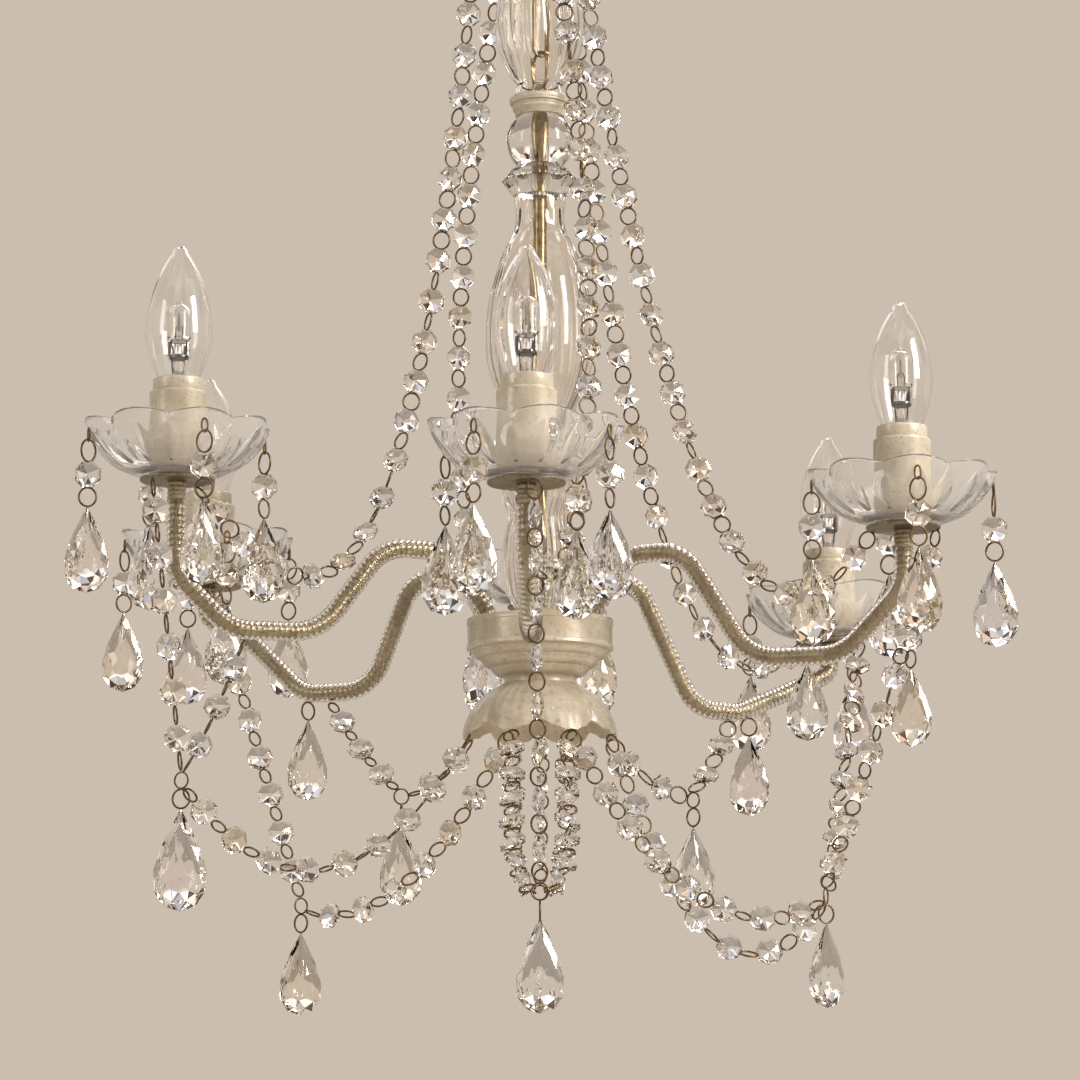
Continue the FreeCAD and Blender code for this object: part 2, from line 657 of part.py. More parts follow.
def bend_ends(before, corner, after):
    """The two points where the bend at a corner meets its straight neighbours."""
    ways = []
    for other in (before, after):
        run = other[0] - corner[0]
        rise = other[1] - corner[1]
        reach = root(run * run + rise * rise)
        ways.append((run / reach, rise / reach))
    folded = ways[0][0] * ways[1][0] + ways[0][1] * ways[1][1]
    length = corner[2] * root((folded + 1) / (1 - folded))
    return [(corner[0] + way[0] * length, corner[1] + way[1] * length) for way in ways]


def draw_arm_path(sketch, name, corners):
    """Draws straight stretches and bends by turns, from the hub to the lamp."""
    count = len(corners)
    ends = [[corners[0][:2]]]
    for index in range(1, count - 1):
        pair = []
        for end, (out, height) in zip("ab", bend_ends(*corners[index - 1:index + 2])):
            pair.append((derived("{}_{}{}_out".format(name, end, index), out),
                         derived("{}_{}{}_up".format(name, end, index), height)))
        ends.append(pair)
    ends.append([corners[-1][:2]])
    edges = []
    for index in range(count - 1):
        start = Vector(number(ends[index][-1][0]), number(ends[index][-1][1]), 0)
        end = Vector(number(ends[index + 1][0][0]), number(ends[index + 1][0][1]), 0)
        line = sketch.addGeometry(Part.LineSegment(start, end))
        if index:
            sketch.addConstraint(Sketcher.Constraint("Coincident", edges[-1][0], edges[-1][1], line, 1))
        pin_point(sketch, line, 1, *ends[index][-1])
        pin_point(sketch, line, 2, *ends[index + 1][0])
        edges.append((line, 2))
        if index == count - 2:
            break
        after = Vector(number(ends[index + 1][1][0]), number(ends[index + 1][1][1]), 0)
        corner = Vector(number(corners[index + 1][0]), number(corners[index + 1][1]), 0)
        left = (corner - end).cross(after - corner).z > 0
        chord = after - end
        bend = number(corners[index + 1][2])
        depth = bend - math.sqrt(bend ** 2 - chord.Length ** 2 / 4)
        centre, _ = arc_centre(end, after, depth if left else -depth)
        first, last = (end, after) if left else (after, end)
        angles = [math.atan2(point.y - centre.y, point.x - centre.x) for point in (first, last)]
        if angles[1] < angles[0]:
            angles[1] += 2 * math.pi
        arc = sketch.addGeometry(Part.ArcOfCircle(Part.Circle(centre, Vector(0, 0, 1), bend), angles[0], angles[1]))
        sketch.addConstraint(Sketcher.Constraint("Coincident", line, 2, arc, 1 if left else 2))
        radius_at = sketch.addConstraint(Sketcher.Constraint("Radius", arc, bend))
        bind(sketch, "Constraints[{}]".format(radius_at), corners[index + 1][2])
        edges.append((arc, 2 if left else 1))
    return len(edges)


def swept_arm(name, corners, diameters):
    """A pipe along the arm's centre line; a second diameter makes it hollow."""
    body = doc.addObject("PartDesign::Body", name)
    path = new_sketch(body, name + "_path", "XZ_Plane")
    edge_count = draw_arm_path(path, name, corners)
    section = new_sketch(body, name + "_section", "XY_Plane")
    section.AttachmentOffset = Placement(Vector(0, 0, -value("stub_depth")), Rotation())
    bind(section, "AttachmentOffset.Base.z", size["stub_depth"] * -1)
    for across in diameters:
        circle = section.addGeometry(Part.Circle(Vector(value("stub_radius"), 0, 0), Vector(0, 0, 1),
                                                 number(across) / 2))
        index = section.addConstraint(Sketcher.Constraint("Diameter", circle, number(across)))
        bind(section, "Constraints[{}]".format(index), across)
        pin_point(section, circle, 3, size["stub_radius"], 0)
    sweep = body.newObject("PartDesign::AdditivePipe", name + "_pipe")
    sweep.Profile = section
    sweep.Spine = (path, ["Edge{}".format(index + 1) for index in range(edge_count)])
    return body


def groove_profile():
    """Half outline of the ribbed collar that ends each arm, from its foot up."""
    outer = radius("end_collar_diameter")
    count = int(value("end_collar_grooves"))
    pitch = size["end_collar_height"] / count
    corners = [(radius("arm_diameter") * 0.7, 0)]
    for index in range(count):
        corners.append((outer - 0.5, pitch * index if index else 0))
        corners.append((outer, pitch * (index + 0.3), 0.2))
        corners.append((outer, pitch * (index + 0.8)))
    corners.append((outer - 0.5, size["end_collar_height"]))
    corners.append((radius("arm_diameter") * 0.7, size["end_collar_height"]))
    return corners


hub_clearing = cylinder("hub_clearing", size["hub_diameter"] + 8, size["hub_drop"] / 8,
                        z=size["sleeve_start"] - size["hub_drop"] / 8)
arm_sleeves = []
for arm_name in ARM_NAMES:
    heading = size["turn_" + arm_name] - 90
    tube_top = disc_level[arm_name] + size["arm_tenon"]
    tube = swept_arm("tube_" + arm_name, arm_line(arm_name, tube_top), [size["arm_diameter"]])
    end_collar = place(turned("end_collar_" + arm_name, groove_profile()), size["arm_reach"], 0,
                       disc_level[arm_name] - size["end_collar_height"])
    keep("arm_" + arm_name, place(fused("arm_metal_" + arm_name, [tube, end_collar]),
                                  z=hub_level(0), turn=heading))
    sleeve_top = disc_level[arm_name] - size["end_collar_height"] - size["seat_gap"]
    sleeve = swept_arm("sleeve_" + arm_name, arm_line(arm_name, sleeve_top),
                       [size["sleeve_diameter"], size["sleeve_bore"]])
    arm_sleeves.append(place(cut("sleeve_cut_" + arm_name, sleeve, hub_clearing), z=hub_level(0), turn=heading))
keep("arm_sleeves", group("sleeve_set", arm_sleeves))

# ---------------------------------------------------------------- lamps

cup_radius = radius("cup_diameter")
cup_foot_radius = radius("cup_foot_diameter")
ring_foot = size["cup_height"]
ring_top = ring_foot + size["cup_ring_height"]
disc_top = size["disc_thickness"]
arm_hole = radius("arm_diameter") + 0.2
cup = turned("cup", [
    (arm_hole, 0),
    (radius("disc_diameter") - 1, 0),
    (radius("disc_diameter"), disc_top, -0.5),
    (cup_foot_radius + 1, disc_top + 0.8),
    (cup_foot_radius, disc_top + 1.6),
    (cup_radius, disc_top + 9),
    (cup_radius, ring_foot - 0.6),
    (cup_radius - 0.6, ring_foot),
    (radius("cup_ring_diameter"), ring_foot),
    (radius("cup_ring_diameter"), ring_top),
    (radius("cup_ring_bore"), ring_top),
    (radius("cup_ring_bore"), ring_foot - size["cup_wall"]),
    (cup_radius - size["cup_wall"], ring_foot - size["cup_wall"]),
    (cup_radius - size["cup_wall"], disc_top + 9),
    (cup_foot_radius - size["cup_wall"], disc_top + size["cup_wall"] + 1),
    (arm_hole, disc_top + size["cup_wall"] + 1),
])
cup_floor = disc_top + size["cup_wall"] + 1
holder_foot = cup_floor
holder = turned("holder", [
    (arm_hole, 0),
    (radius("holder_stem_diameter"), 0),
    (radius("holder_stem_diameter"), size["holder_stem_height"]),
    (radius("holder_diameter"), size["holder_stem_height"] + 3),
    (radius("holder_diameter"), size["holder_height"] - 1),
    (radius("holder_diameter") - 1, size["holder_height"]),
    (radius("holder_bore"), size["holder_height"]),
    (radius("holder_bore"), size["holder_floor"]),
    (arm_hole, size["holder_floor"]),
])

bulb_seat = ring_top - size["cup_ring_height"] * 0.6


def candle_bulb(name, scale):
    """A clear candle bulb: envelope, screw base with its stem, and halogen capsule."""
    wall = size["bulb_wall"]
    neck = radius("bulb_neck_diameter")
    belly = radius("bulb_diameter") * scale
    height = size["bulb_length"] * scale + ring_top - bulb_seat
    tip = radius("bulb_tip_diameter")
    rise = size["bulb_tip_rise"]
    base = radius("bulb_base_diameter")
    base_length = size["bulb_base_length"]
    envelope = turned(name + "_envelope", [
        (base + 0.5, 0),
        (neck, 0),
        (neck, 3, 0.8),
        (belly, size["bulb_belly_rise"], 3.6),
        (tip, height - rise, dome(tip, rise)),
        (0, height),
        (0, height - wall * 1.6, dome(tip - wall, rise - wall * 0.6) * -1),
        (tip - wall, height - wall - rise, -3.4),
        (belly - wall, size["bulb_belly_rise"], -0.8),
        (neck - wall, 4),
        (neck - wall, wall),
        (base + 0.5, wall),
    ])
    stem_top = base_length + size["capsule_rise"] - 0.2
    screw_base = place(turned(name + "_base", [
        (0, 0),
        (base * 0.4, 0, 0.3),
        (base * 0.7, 2),
        (base, 4),
        (base, base_length),
        (radius("stem_diameter"), base_length + wall),
        (radius("stem_diameter"), stem_top),
        (0, stem_top),
    ]), z=base_length * -1)
    across = radius("capsule_diameter")
    capsule = place(turned(name + "_capsule", [
        (0, 0),
        (across, 1),
        (across, size["capsule_length"] - across, dome(across, across)),
        (0, size["capsule_length"]),
    ]), z=size["capsule_rise"])
    return group(name, [envelope, screw_base, capsule])


bulb = candle_bulb("bulb", as_size(1))
large_bulb = candle_bulb("large_bulb_master", size["large_bulb"])

bowl_foot = radius("bobeche_foot_diameter")
bowl_rim = radius("bobeche_diameter")
bowl_height = size["bobeche_height"]
bowl_wall = size["bobeche_wall"]
bowl_bore = cup_radius + size["bobeche_clearance"]
bowl = turned("bowl", [
    (bowl_bore, 0),
    (bowl_foot, 0, size["bobeche_bulge"]),
    (bowl_rim, bowl_height),
    (bowl_rim - bowl_wall, bowl_height, size["bobeche_bulge"] * -1),
    (bowl_foot - 0.4, bowl_wall),
    (bowl_bore, bowl_wall),
])
lobes = lobed_column("bowl_lobes", size["bobeche_diameter"], size["bobeche_lobe_radius"],
                     int(value("bobeche_lobes")), bowl_height, 0)
bobeche = common("bobeche", [bowl, lobes])

holders = []
for arm_name in ARM_NAMES:
    turn = size["turn_" + arm_name]
    lamp_x = size["arm_reach"] * sine(turn)
    lamp_y = size["arm_reach"] * cosine(turn) * -1
    lamp_z = hub_level(disc_level[arm_name])
    keep("candle_cup_" + arm_name, place(group("cup_of_" + arm_name, [cup]), lamp_x, lamp_y, lamp_z))
    holders.append(place(group("holder_of_" + arm_name, [holder]), lamp_x, lamp_y, lamp_z + holder_foot))
    own_bulb = large_bulb if arm_name == "front_left" else bulb
    keep("bulb_" + arm_name, place(group("bulb_of_" + arm_name, [own_bulb]), lamp_x, lamp_y, lamp_z + bulb_seat))
    keep("bobeche_" + arm_name, place(group("bowl_of_" + arm_name, [bobeche]), lamp_x, lamp_y,
                                      lamp_z + disc_top + 1.6, size["drops_" + arm_name]))
keep("lampholders", group("holder_set", holders))

# ---------------------------------------------------------------- crystals


def bead_solid():
    """An octagon bead: a flat cut crystal, lying in XZ with its flat ends along Z."""
    corner_radius = value("bead_width") / 2 / math.cos(math.pi / 8)
    angles = [math.pi / 8 + index * math.pi / 4 for index in range(8)]
    points = [Vector(corner_radius * math.sin(angle), 0, corner_radius * math.cos(angle)) for angle in angles]
    points += [Vector(0, -value("bead_depth") / 2, 0), Vector(0, value("bead_depth") / 2, 0)]
    faces = []
    for index in range(8):
        faces.append((index, (index + 1) % 8, 8))
        faces.append(((index + 1) % 8, index, 9))
    return solid_of(points, faces)


def link_solid(length):
    """A wire ring drawn with four corners, lying in YZ and centred on the origin."""
    wire = value("link_wire")
    half_width = value("link_width") / 2
    half_length = length / 2
    outline = []
    for shrink in (0, wire * 1.4):
        corners = [(0, half_length - shrink), (half_width - shrink, 0), (0, shrink - half_length),
                   (shrink - half_width, 0)]
        points = [Vector(-wire / 2, y, z) for y, z in corners]
        outline.append(Part.Face(Part.makePolygon(points + [points[0]])))
    return outline[0].cut(outline[1]).extrude(Vector(wire, 0, 0))


def almond_solid(width, length, depth):
    """An almond drop: a teardrop outline round one raised point on each side, hung from its tip."""
    count = 12
    points = []
    for index in range(count):
        angle = 2 * math.pi * index / count
        half_width = width / 1.54 * math.sin(angle) * abs(math.sin(angle / 2)) ** 1.3
        points.append(Vector(half_width, 0, length / 2 * (math.cos(angle) - 1)))
    for side in (-1, 1):
        points.append(Vector(0, side * depth / 2, -length * 0.62))
    faces = []
    for index in range(count):
        faces.append((index, (index + 1) % count, count))
        faces.append(((index + 1) % count, index, count + 1))
    return solid_of(points, faces)


def moved(shape, spot, rotation=Rotation()):
    copy = shape.copy()
    copy.Placement = Placement(spot, rotation)
    return copy


def compass(distance, azimuth, height=0.0):
    """A point at a distance and azimuth from the Z axis."""
    angle = math.radians(azimuth)
    return Vector(distance * math.sin(angle), -distance * math.cos(angle), height)


bead = bead_solid()
almond = almond_solid(value("almond_width"), value("almond_length"), value("almond_depth"))
large = value("large_pendant")
large_almond = almond_solid(value("almond_width") * large, value("almond_length") * large, value("almond_depth") * large)
gap = value("seat_gap")
bead_half = value("bead_width") / 2


def strand_point(start, end, sag, lag, bow, share):
    """A point of a hanging strand, at a share of its way.

    It sags as a parabola; lag holds its sideways travel back near its start, and bow swings
    it out to the right of its way.
    """
    along = Vector(end.x - start.x, end.y - start.y, 0) * share ** lag
    side = Vector(end.y - start.y, start.x - end.x, 0)
    if side.Length > 0:
        side.normalize()
    height = start.z + (end.z - start.z) * share - 4 * sag * share * (1 - share)
    swing = 6.75 * bow * share * (1 - share) ** 2
    return Vector(start.x, start.y, height) + along + side * swing


def strand_solids(start, end, sag=0.0, lag=1.0, bow=0.0):
    """Beads and rings by turns along a hanging strand, a ring at each end."""
    steps = 200
    track = [strand_point(start, end, sag, lag, bow, index / steps) for index in range(steps + 1)]
    walked = [0.0]
    for before, after in zip(track, track[1:]):
        walked.append(walked[-1] + (after - before).Length)

    def at(distance):
        index = 1
        while index < steps and walked[index] < distance:
            index += 1
        share = (distance - walked[index - 1]) / (walked[index] - walked[index - 1])
        return track[index - 1] + (track[index] - track[index - 1]) * share

    width = value("bead_width")
    bead_count = max(1, round((walked[-1] - value("link_length")) / (width + value("link_length"))))
    link_room = (walked[-1] - bead_count * width) / (bead_count + 1)
    link = link_solid(link_room - 2 * gap)
    pieces = []
    for index in range(2 * bead_count + 1):
        length = width if index % 2 else link_room
        first = (index // 2) * (width + link_room) + (index % 2) * link_room
        low = at(first)
        high = at(min(first + length, walked[-1]))
        way = (high - low).normalize()
        across = way.cross(Vector(way.y, -way.x, 0.35))
        rotation = Rotation(across, Vector(), way * -1, "ZXY")
        pieces.append(moved(bead if index % 2 else link, (low + high) / 2, rotation))
    return pieces


def lamp_spot(arm_name):
    return compass(value("arm_reach"), value("turn_" + arm_name),
                   disc_level[arm_name].value - value("hub_drop"))


def disc_hole(arm_name, azimuth):
    """Where a strand hangs under the rim of an arm's disc."""
    distance = value("disc_diameter") / 2 - value("disc_hole_inset")
    return lamp_spot(arm_name) + compass(distance, azimuth, -gap)


def crown_hole(azimuth):
    return compass(value("crown_hole_circle") / 2, azimuth, crown_foot.value - gap)


def petal_hole(index):
    return compass(petal_hole_radius.value, petal_azimuths[index % petal_count], dish_foot.value - gap)


def under_arm(arm_name, out):
    """Just under the glass sleeve of an arm, at a distance out along its trough."""
    corners = arm_line(arm_name, size["arm_reach"])
    depth = min(corner[1].value for corner in corners)
    outer = max(index for index, corner in enumerate(corners) if corner[1].value < depth + 2)
    before, bend, after = corners[outer - 1:outer + 2]
    start, end = bend_ends(before, bend, after)
    half = value("sleeve_diameter") / 2
    if start[0].value < out < end[0].value:
        middle = start[1].value + bend[2].value
        level = middle - math.sqrt((bend[2].value + half) ** 2 - (out - start[0].value) ** 2)
    else:
        other = before if out < bend[0].value else after
        slope = (other[1].value - bend[1].value) / (other[0].value - bend[0].value)
        level = bend[1].value + slope * (out - bend[0].value) - half * math.sqrt(1 + slope ** 2)
    return compass(out, value("turn_" + arm_name), level - gap - value("hub_drop"))


# Joining rings of the lower strands: x, y, height over the hub's rim, azimuth that the ring faces.
JUNCTIONS = {
    "left": (-190, -100, -100, -30),
    "rear_left": (-135, 50, -156, 40),
    "left_swag": (-78, 30, -96, 20),
    "front": (0, -185, -165, 0),
    "right": (158, 0, -154, 70),
    "right_swag": (87, 50, -96, -40),
    "back": (0, 194, -138, 180),
}


def junction(name):
    x, y, height, _ = JUNCTIONS[name]
    return Vector(x, y, height - value("hub_drop"))


ring_wire = value("junction_wire") / 2 + gap
ring_radius = value("junction_ring") / 2


def ring_end(name, way):
    """Where a strand that leaves a junction along a way meets the junction's ring."""
    facing = compass(1, JUNCTIONS[name][3])
    way = Vector(way).normalize()
    in_plane = (way - facing * way.dot(facing)).normalize()
    return junction(name) + in_plane * ring_radius + way * ring_wire


def from_junction(name, hole, sag=0.0, side=None, bow=0.0, slack=0.0):
    """A strand from a junction's ring to a hole.

    It leaves the ring along its way, or on the side with the given azimuth; slack keeps its
    other end a little way from a hole that two strands share.
    """
    middle = junction(name)
    way = strand_point(middle, hole, sag, 1, 0, 0.03) - middle
    if side is not None:
        way = compass(1, side)
    end_way = (strand_point(middle, hole, sag, 1, bow, 0.97) - hole).normalize()
    return strand_solids(ring_end(name, way), hole + end_way * slack, sag, 1, bow)


upper = []
for arm_name, crown_azimuth, disc_azimuth, sag, lag, bow in UPPER_STRANDS:
    upper += strand_solids(crown_hole(crown_azimuth), disc_hole(arm_name, disc_azimuth), sag, lag, bow)
keep("upper_strands", feature("upper_beads", upper))

# Lower strands: junction, hole, sag, side of the ring, sideways bow, slack at the hole.
LOWER_STRANDS = [
    ("left", disc_hole("front_left", -40), 0, None, 0, 0),
    ("left", under_arm("front_left", 178), 5, None, 0, 0),
    ("left", petal_hole(6), 58, None, 0, 0),
    ("rear_left", disc_hole("rear_left", 15), 2, None, 0, 0),
    ("rear_left", petal_hole(7), 33, None, 0, 0.9),
    ("left_swag", under_arm("rear_left", 134), 4, None, 0, 0),
    ("left_swag", petal_hole(5), 6, None, 0, 0),
    ("front", disc_hole("front", 12), 2, None, 0, 0),
    ("front", petal_hole(7), 10, -90, -5, 0),
    ("front", petal_hole(0), 10, 90, 5, 0),
    ("right", disc_hole("front_right", 95), 5, None, 0, 0),
    ("right", disc_hole("rear_right", 100), 3, None, 0, 0),
    ("right", petal_hole(0), 44, None, -5, 0.9),
    ("right", petal_hole(1), 66, None, 5, 0),
    ("right_swag", petal_hole(2), 6, None, 0, 0),
    ("right_swag", under_arm("rear_right", 140), 5, None, 0, 0),
    ("back", disc_hole("back", 168), 2, None, 0, 0),
    ("back", petal_hole(3), 10, 90, -5, 0),
    ("back", petal_hole(4), 10, -90, 5, 0),
]
lower = []
for junction_name, hole, sag, side, bow, slack in LOWER_STRANDS:
    lower += from_junction(junction_name, hole, sag, side, bow, slack)

# Pendants: name, junction or arm that carries it, azimuth that its face looks to, and
# its distance from the hub's axis when an arm carries it.
PENDANTS = [
    ("pendant_left", "left", 0, None),
    ("pendant_rear_left", "rear_left", 20, None),
    ("pendant_left_swag", "left_swag", -10, None),
    ("pendant_front", "front", 0, None),
    ("pendant_right", "right", 35, None),
    ("pendant_right_swag", "right_swag", 10, None),
    ("pendant_back", "back", 180, None),
    ("pendant_rear_left_arm", "rear_left", 25, 149),
    ("pendant_rear_right_arm", "rear_right", -20, 154),
]
hanging_link = link_solid(value("link_length"))
for name, carrier, face, out in PENDANTS:
    if out:
        top = under_arm(carrier, out)
    else:
        middle = junction(carrier)
        lower.append(Part.makeTorus(ring_radius, value("junction_wire") / 2, middle,
                                    compass(1, JUNCTIONS[carrier][3])))
        top = middle - Vector(0, 0, ring_radius + ring_wire)
    link_middle = Vector(0, 0, -value("link_length") / 2)
    almond_top = Vector(0, 0, -value("link_length") - gap)
    pieces = [moved(hanging_link, link_middle), moved(large_almond if name == "pendant_left" else almond, almond_top)]
    keep(name, feature(name + "_crystal", pieces, Placement(top, Rotation(Vector(0, 0, 1), face))))
keep("lower_strands", feature("lower_beads", lower))

# Four drops hang round each glass dish, from holes in its flank.
bowl_start = Vector(bowl_foot.value, 0, 0)
bowl_end = Vector(bowl_rim.value, bowl_height.value, 0)
flank_centre, flank_radius = arc_centre(bowl_start, bowl_end, value("bobeche_bulge"))
hole_rise = value("drop_hole_rise")
flank = flank_centre.x + math.sqrt(flank_radius ** 2 - (hole_rise - flank_centre.y) ** 2)
drop_distance = flank + gap + value("link_wire") / 2
hook_step = (link_solid(value("hook_length")), value("hook_length"), True)
ring_step = (link_solid(value("drop_ring_length")), value("drop_ring_length"), True)
bead_step = (bead, value("bead_width"), False)
almond_ring_step = (link_solid(value("link_length")), value("link_length"), True)
DROP_FACES = (8, -14, 12, -6)
for arm_name in ARM_NAMES:
    pieces = []
    bowl_level = disc_top.value + 1.6
    for quarter, face in enumerate(DROP_FACES):
        azimuth = value("drops_" + arm_name) + 90 * quarter
        spot = lamp_spot(arm_name) + compass(drop_distance, azimuth, bowl_level + hole_rise)
        for piece, length, turn in (hook_step, ring_step, bead_step, almond_ring_step):
            middle = spot - Vector(0, 0, length / 2)
            pieces.append(moved(piece, middle, Rotation(Vector(0, 0, 1), azimuth + 90 if turn else face)))
            spot -= Vector(0, 0, length + gap)
        pieces.append(moved(almond, spot, Rotation(Vector(0, 0, 1), face)))
    keep("bobeche_drops_" + arm_name, feature("drops_of_" + arm_name, pieces))

# ---------------------------------------------------------------- checks and export

doc.recompute()
for thing in doc.Objects:
    if "Invalid" in thing.State or "Error" in thing.State:
        raise SystemExit("failed object: {} {}".format(thing.Name, thing.State))
for name, thing in nodes.items():
    if thing.Shape.isNull() or not thing.Shape.isValid() or not thing.Shape.Solids:
        raise SystemExit("bad shape: " + name)
os.makedirs("parts", exist_ok=True)
for name, thing in nodes.items():
    thing.Shape.exportStep("parts/{}.step".format(name))
print(len(nodes), "nodes,", sum(len(thing.Shape.Solids) for thing in nodes.values()), "solids")
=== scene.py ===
import json
import math
import random

import bmesh
import bpy
import numpy as np
from mathutils import Matrix, Vector


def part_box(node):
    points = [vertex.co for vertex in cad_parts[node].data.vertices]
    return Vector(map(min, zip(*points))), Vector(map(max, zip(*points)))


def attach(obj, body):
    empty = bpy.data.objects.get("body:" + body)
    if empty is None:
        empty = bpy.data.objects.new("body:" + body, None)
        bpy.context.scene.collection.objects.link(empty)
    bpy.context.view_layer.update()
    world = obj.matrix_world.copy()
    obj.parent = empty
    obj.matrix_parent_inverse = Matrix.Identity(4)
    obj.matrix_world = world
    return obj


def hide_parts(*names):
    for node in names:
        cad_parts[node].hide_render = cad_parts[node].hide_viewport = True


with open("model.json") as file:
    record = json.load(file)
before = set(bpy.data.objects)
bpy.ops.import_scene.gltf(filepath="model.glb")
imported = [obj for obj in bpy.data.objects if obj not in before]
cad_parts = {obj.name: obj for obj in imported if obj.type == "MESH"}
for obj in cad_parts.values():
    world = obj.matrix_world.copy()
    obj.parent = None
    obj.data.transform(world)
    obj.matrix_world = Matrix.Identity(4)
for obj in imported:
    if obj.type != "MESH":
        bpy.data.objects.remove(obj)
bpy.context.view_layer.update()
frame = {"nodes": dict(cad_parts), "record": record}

# The shapes are worked out in millimetres and put in the scene in metres. Azimuths are counted
# from the front (-Y) towards the right (+X), as in the part's source. A profile lists (radius,
# height) from the foot of its piece; a third number bulges the edge to the next corner.
MM = 0.001
random.seed(7)
NODES = frame["nodes"]
BODY_OF = {}
for body_name, members in frame["record"]["behaviour"]["bodies"].items():
    for member in members:
        BODY_OF[member] = body_name

ARM_NAMES = ["front", "front_right", "rear_right", "back", "rear_left", "front_left"]
ARM_AZIMUTHS = {"front": -1.8, "front_right": 63.2, "rear_right": 128, "back": 180, "rear_left": -116.7,
                "front_left": -63.4}
DROP_AZIMUTHS = {"front": 58, "front_right": 4, "rear_right": -20, "back": 45, "rear_left": 18,
                 "front_left": 22}
BULB_SCALES = {"front_left": 1.08}
HUB_RIM = -440
ARM_REACH = 218
# Foot of each arm under the hub's plate, and its first bend.
ARM_FOOT = [(33, -15.5, None), (33, 3, 12)]
# Centre line of each arm: radius from the axis, height over the hub's rim, bend radius.
LEVEL_BENDS = [(54, 33, 20), (88, 33, 26), (128, -27, 32), (180, -28, 30), (218, 6, 25)]
ARM_BENDS = {
    "front": LEVEL_BENDS,
    "front_right": [(54, 33, 20), (88, 33, 26), (128, -29.5, 32), (182, -30.5, 30), (218, 4, 25)],
    "rear_right": [(50, 26, 14), (71, 26, 16), (112, -41.5, 25), (146, -41.5, 35), (218, -13, 9)],
    "back": LEVEL_BENDS,
    "rear_left": [(50, 28, 16), (81, 28.5, 20), (107.5, -33.5, 25), (152, -33.5, 25), (188, 0, 40),
                  (218, 15, 9)],
    "front_left": [(58.5, 34.5, 22), (96, 34.5, 28), (134, -15.5, 35), (186, -17, 30), (218, 11, 25)],
}


# ---------------------------------------------------------------- node materials


def new_material(name):
    material = bpy.data.materials.new(name)
    material.use_nodes = True
    nodes = material.node_tree.nodes
    shader = nodes["Principled BSDF"]
    return material, nodes, material.node_tree.links, shader


def noise(nodes, links, scale, detail=4.0, roughness=0.6, distortion=0.0):
    where = nodes.new("ShaderNodeTexCoord")
    texture = nodes.new("ShaderNodeTexNoise")
    texture.inputs["Scale"].default_value = scale
    texture.inputs["Detail"].default_value = detail
    texture.inputs["Roughness"].default_value = roughness
    texture.inputs["Distortion"].default_value = distortion
    links.new(where.outputs["Object"], texture.inputs["Vector"])
    return texture


def grey(value):
    return value, value, value


def ramp(nodes, links, source, stops):
    node = nodes.new("ShaderNodeValToRGB")
    elements = node.color_ramp.elements
    while len(elements) < len(stops):
        elements.new(0.5)
    for element, (place, colour) in zip(elements, stops):
        element.position = place
        element.color = tuple(colour) + (1.0,)
    links.new(source, node.inputs["Fac"])
    return node


def bumped(nodes, links, shader, source, strength, distance):
    bump = nodes.new("ShaderNodeBump")
    bump.inputs["Strength"].default_value = strength
    bump.inputs["Distance"].default_value = distance
    links.new(source, bump.inputs["Height"])
    links.new(bump.outputs["Normal"], shader.inputs["Normal"])


def mixed(nodes, links, kind, factor, first, second):
    """Mixes two colours by a socket's value or by a plain number."""
    mix = nodes.new("ShaderNodeMix")
    mix.data_type = "RGBA"
    mix.blend_type = kind
    if isinstance(factor, float):
        mix.inputs["Factor"].default_value = factor
    else:
        links.new(factor, mix.inputs["Factor"])
    links.new(first, mix.inputs["A"])
    links.new(second, mix.inputs["B"])
    return mix.outputs["Result"]


def painted_metal(name, pale, worn, dark, wear):
    """Old cream paint: blotches of a warmer tone, fine worn specks, and painted shade darkening the hollows.
    """
    material, nodes, links, shader = new_material(name)
    blotches = noise(nodes, links, 45, 6, 0.65, 0.4)
    tone = ramp(nodes, links, blotches.outputs["Fac"], [(0.35, worn), (0.62, pale)])
    specks = noise(nodes, links, 420, 5, 0.75)
    rubbed = ramp(nodes, links, specks.outputs["Fac"], [(wear, grey(0.55)), (wear + 0.08, grey(0))])
    # One dark tone colours both the worn specks and the painted shade in the hollows.
    wear_and_shade = nodes.new("ShaderNodeRGB")
    wear_and_shade.outputs[0].default_value = tuple(dark) + (1.0,)
    edges = nodes.new("ShaderNodeNewGeometry")
    # Painted shade: concave places, found by their pointiness, are darkened towards the dark tone.
    hollows = ramp(nodes, links, edges.outputs["Pointiness"], [(0.42, grey(0.7)), (0.49, grey(0))])
    base = mixed(nodes, links, "MIX", rubbed.outputs["Color"], tone.outputs["Color"], wear_and_shade.outputs[0])
    base = mixed(nodes, links, "MIX", hollows.outputs["Color"], base, wear_and_shade.outputs[0])
    links.new(base, shader.inputs["Base Color"])
    sheen = ramp(nodes, links, blotches.outputs["Fac"], [(0.3, grey(0.42)), (0.7, grey(0.2))])
    links.new(sheen.outputs["Color"], shader.inputs["Roughness"])
    shader.inputs["Metallic"].default_value = 0.15
    bumped(nodes, links, shader, specks.outputs["Fac"], 0.12, 0.0004)
    return material


def wire_metal(name, bright, dull, roughness):
    material, nodes, links, shader = new_material(name)
    patches = noise(nodes, links, 260, 4, 0.7)
    tone = ramp(nodes, links, patches.outputs["Fac"], [(0.35, dull), (0.65, bright)])
    links.new(tone.outputs["Color"], shader.inputs["Base Color"])
    shader.inputs["Metallic"].default_value = 1.0
    shader.inputs["Roughness"].default_value = roughness
    bumped(nodes, links, shader, patches.outputs["Fac"], 0.15, 0.0002)
    return material


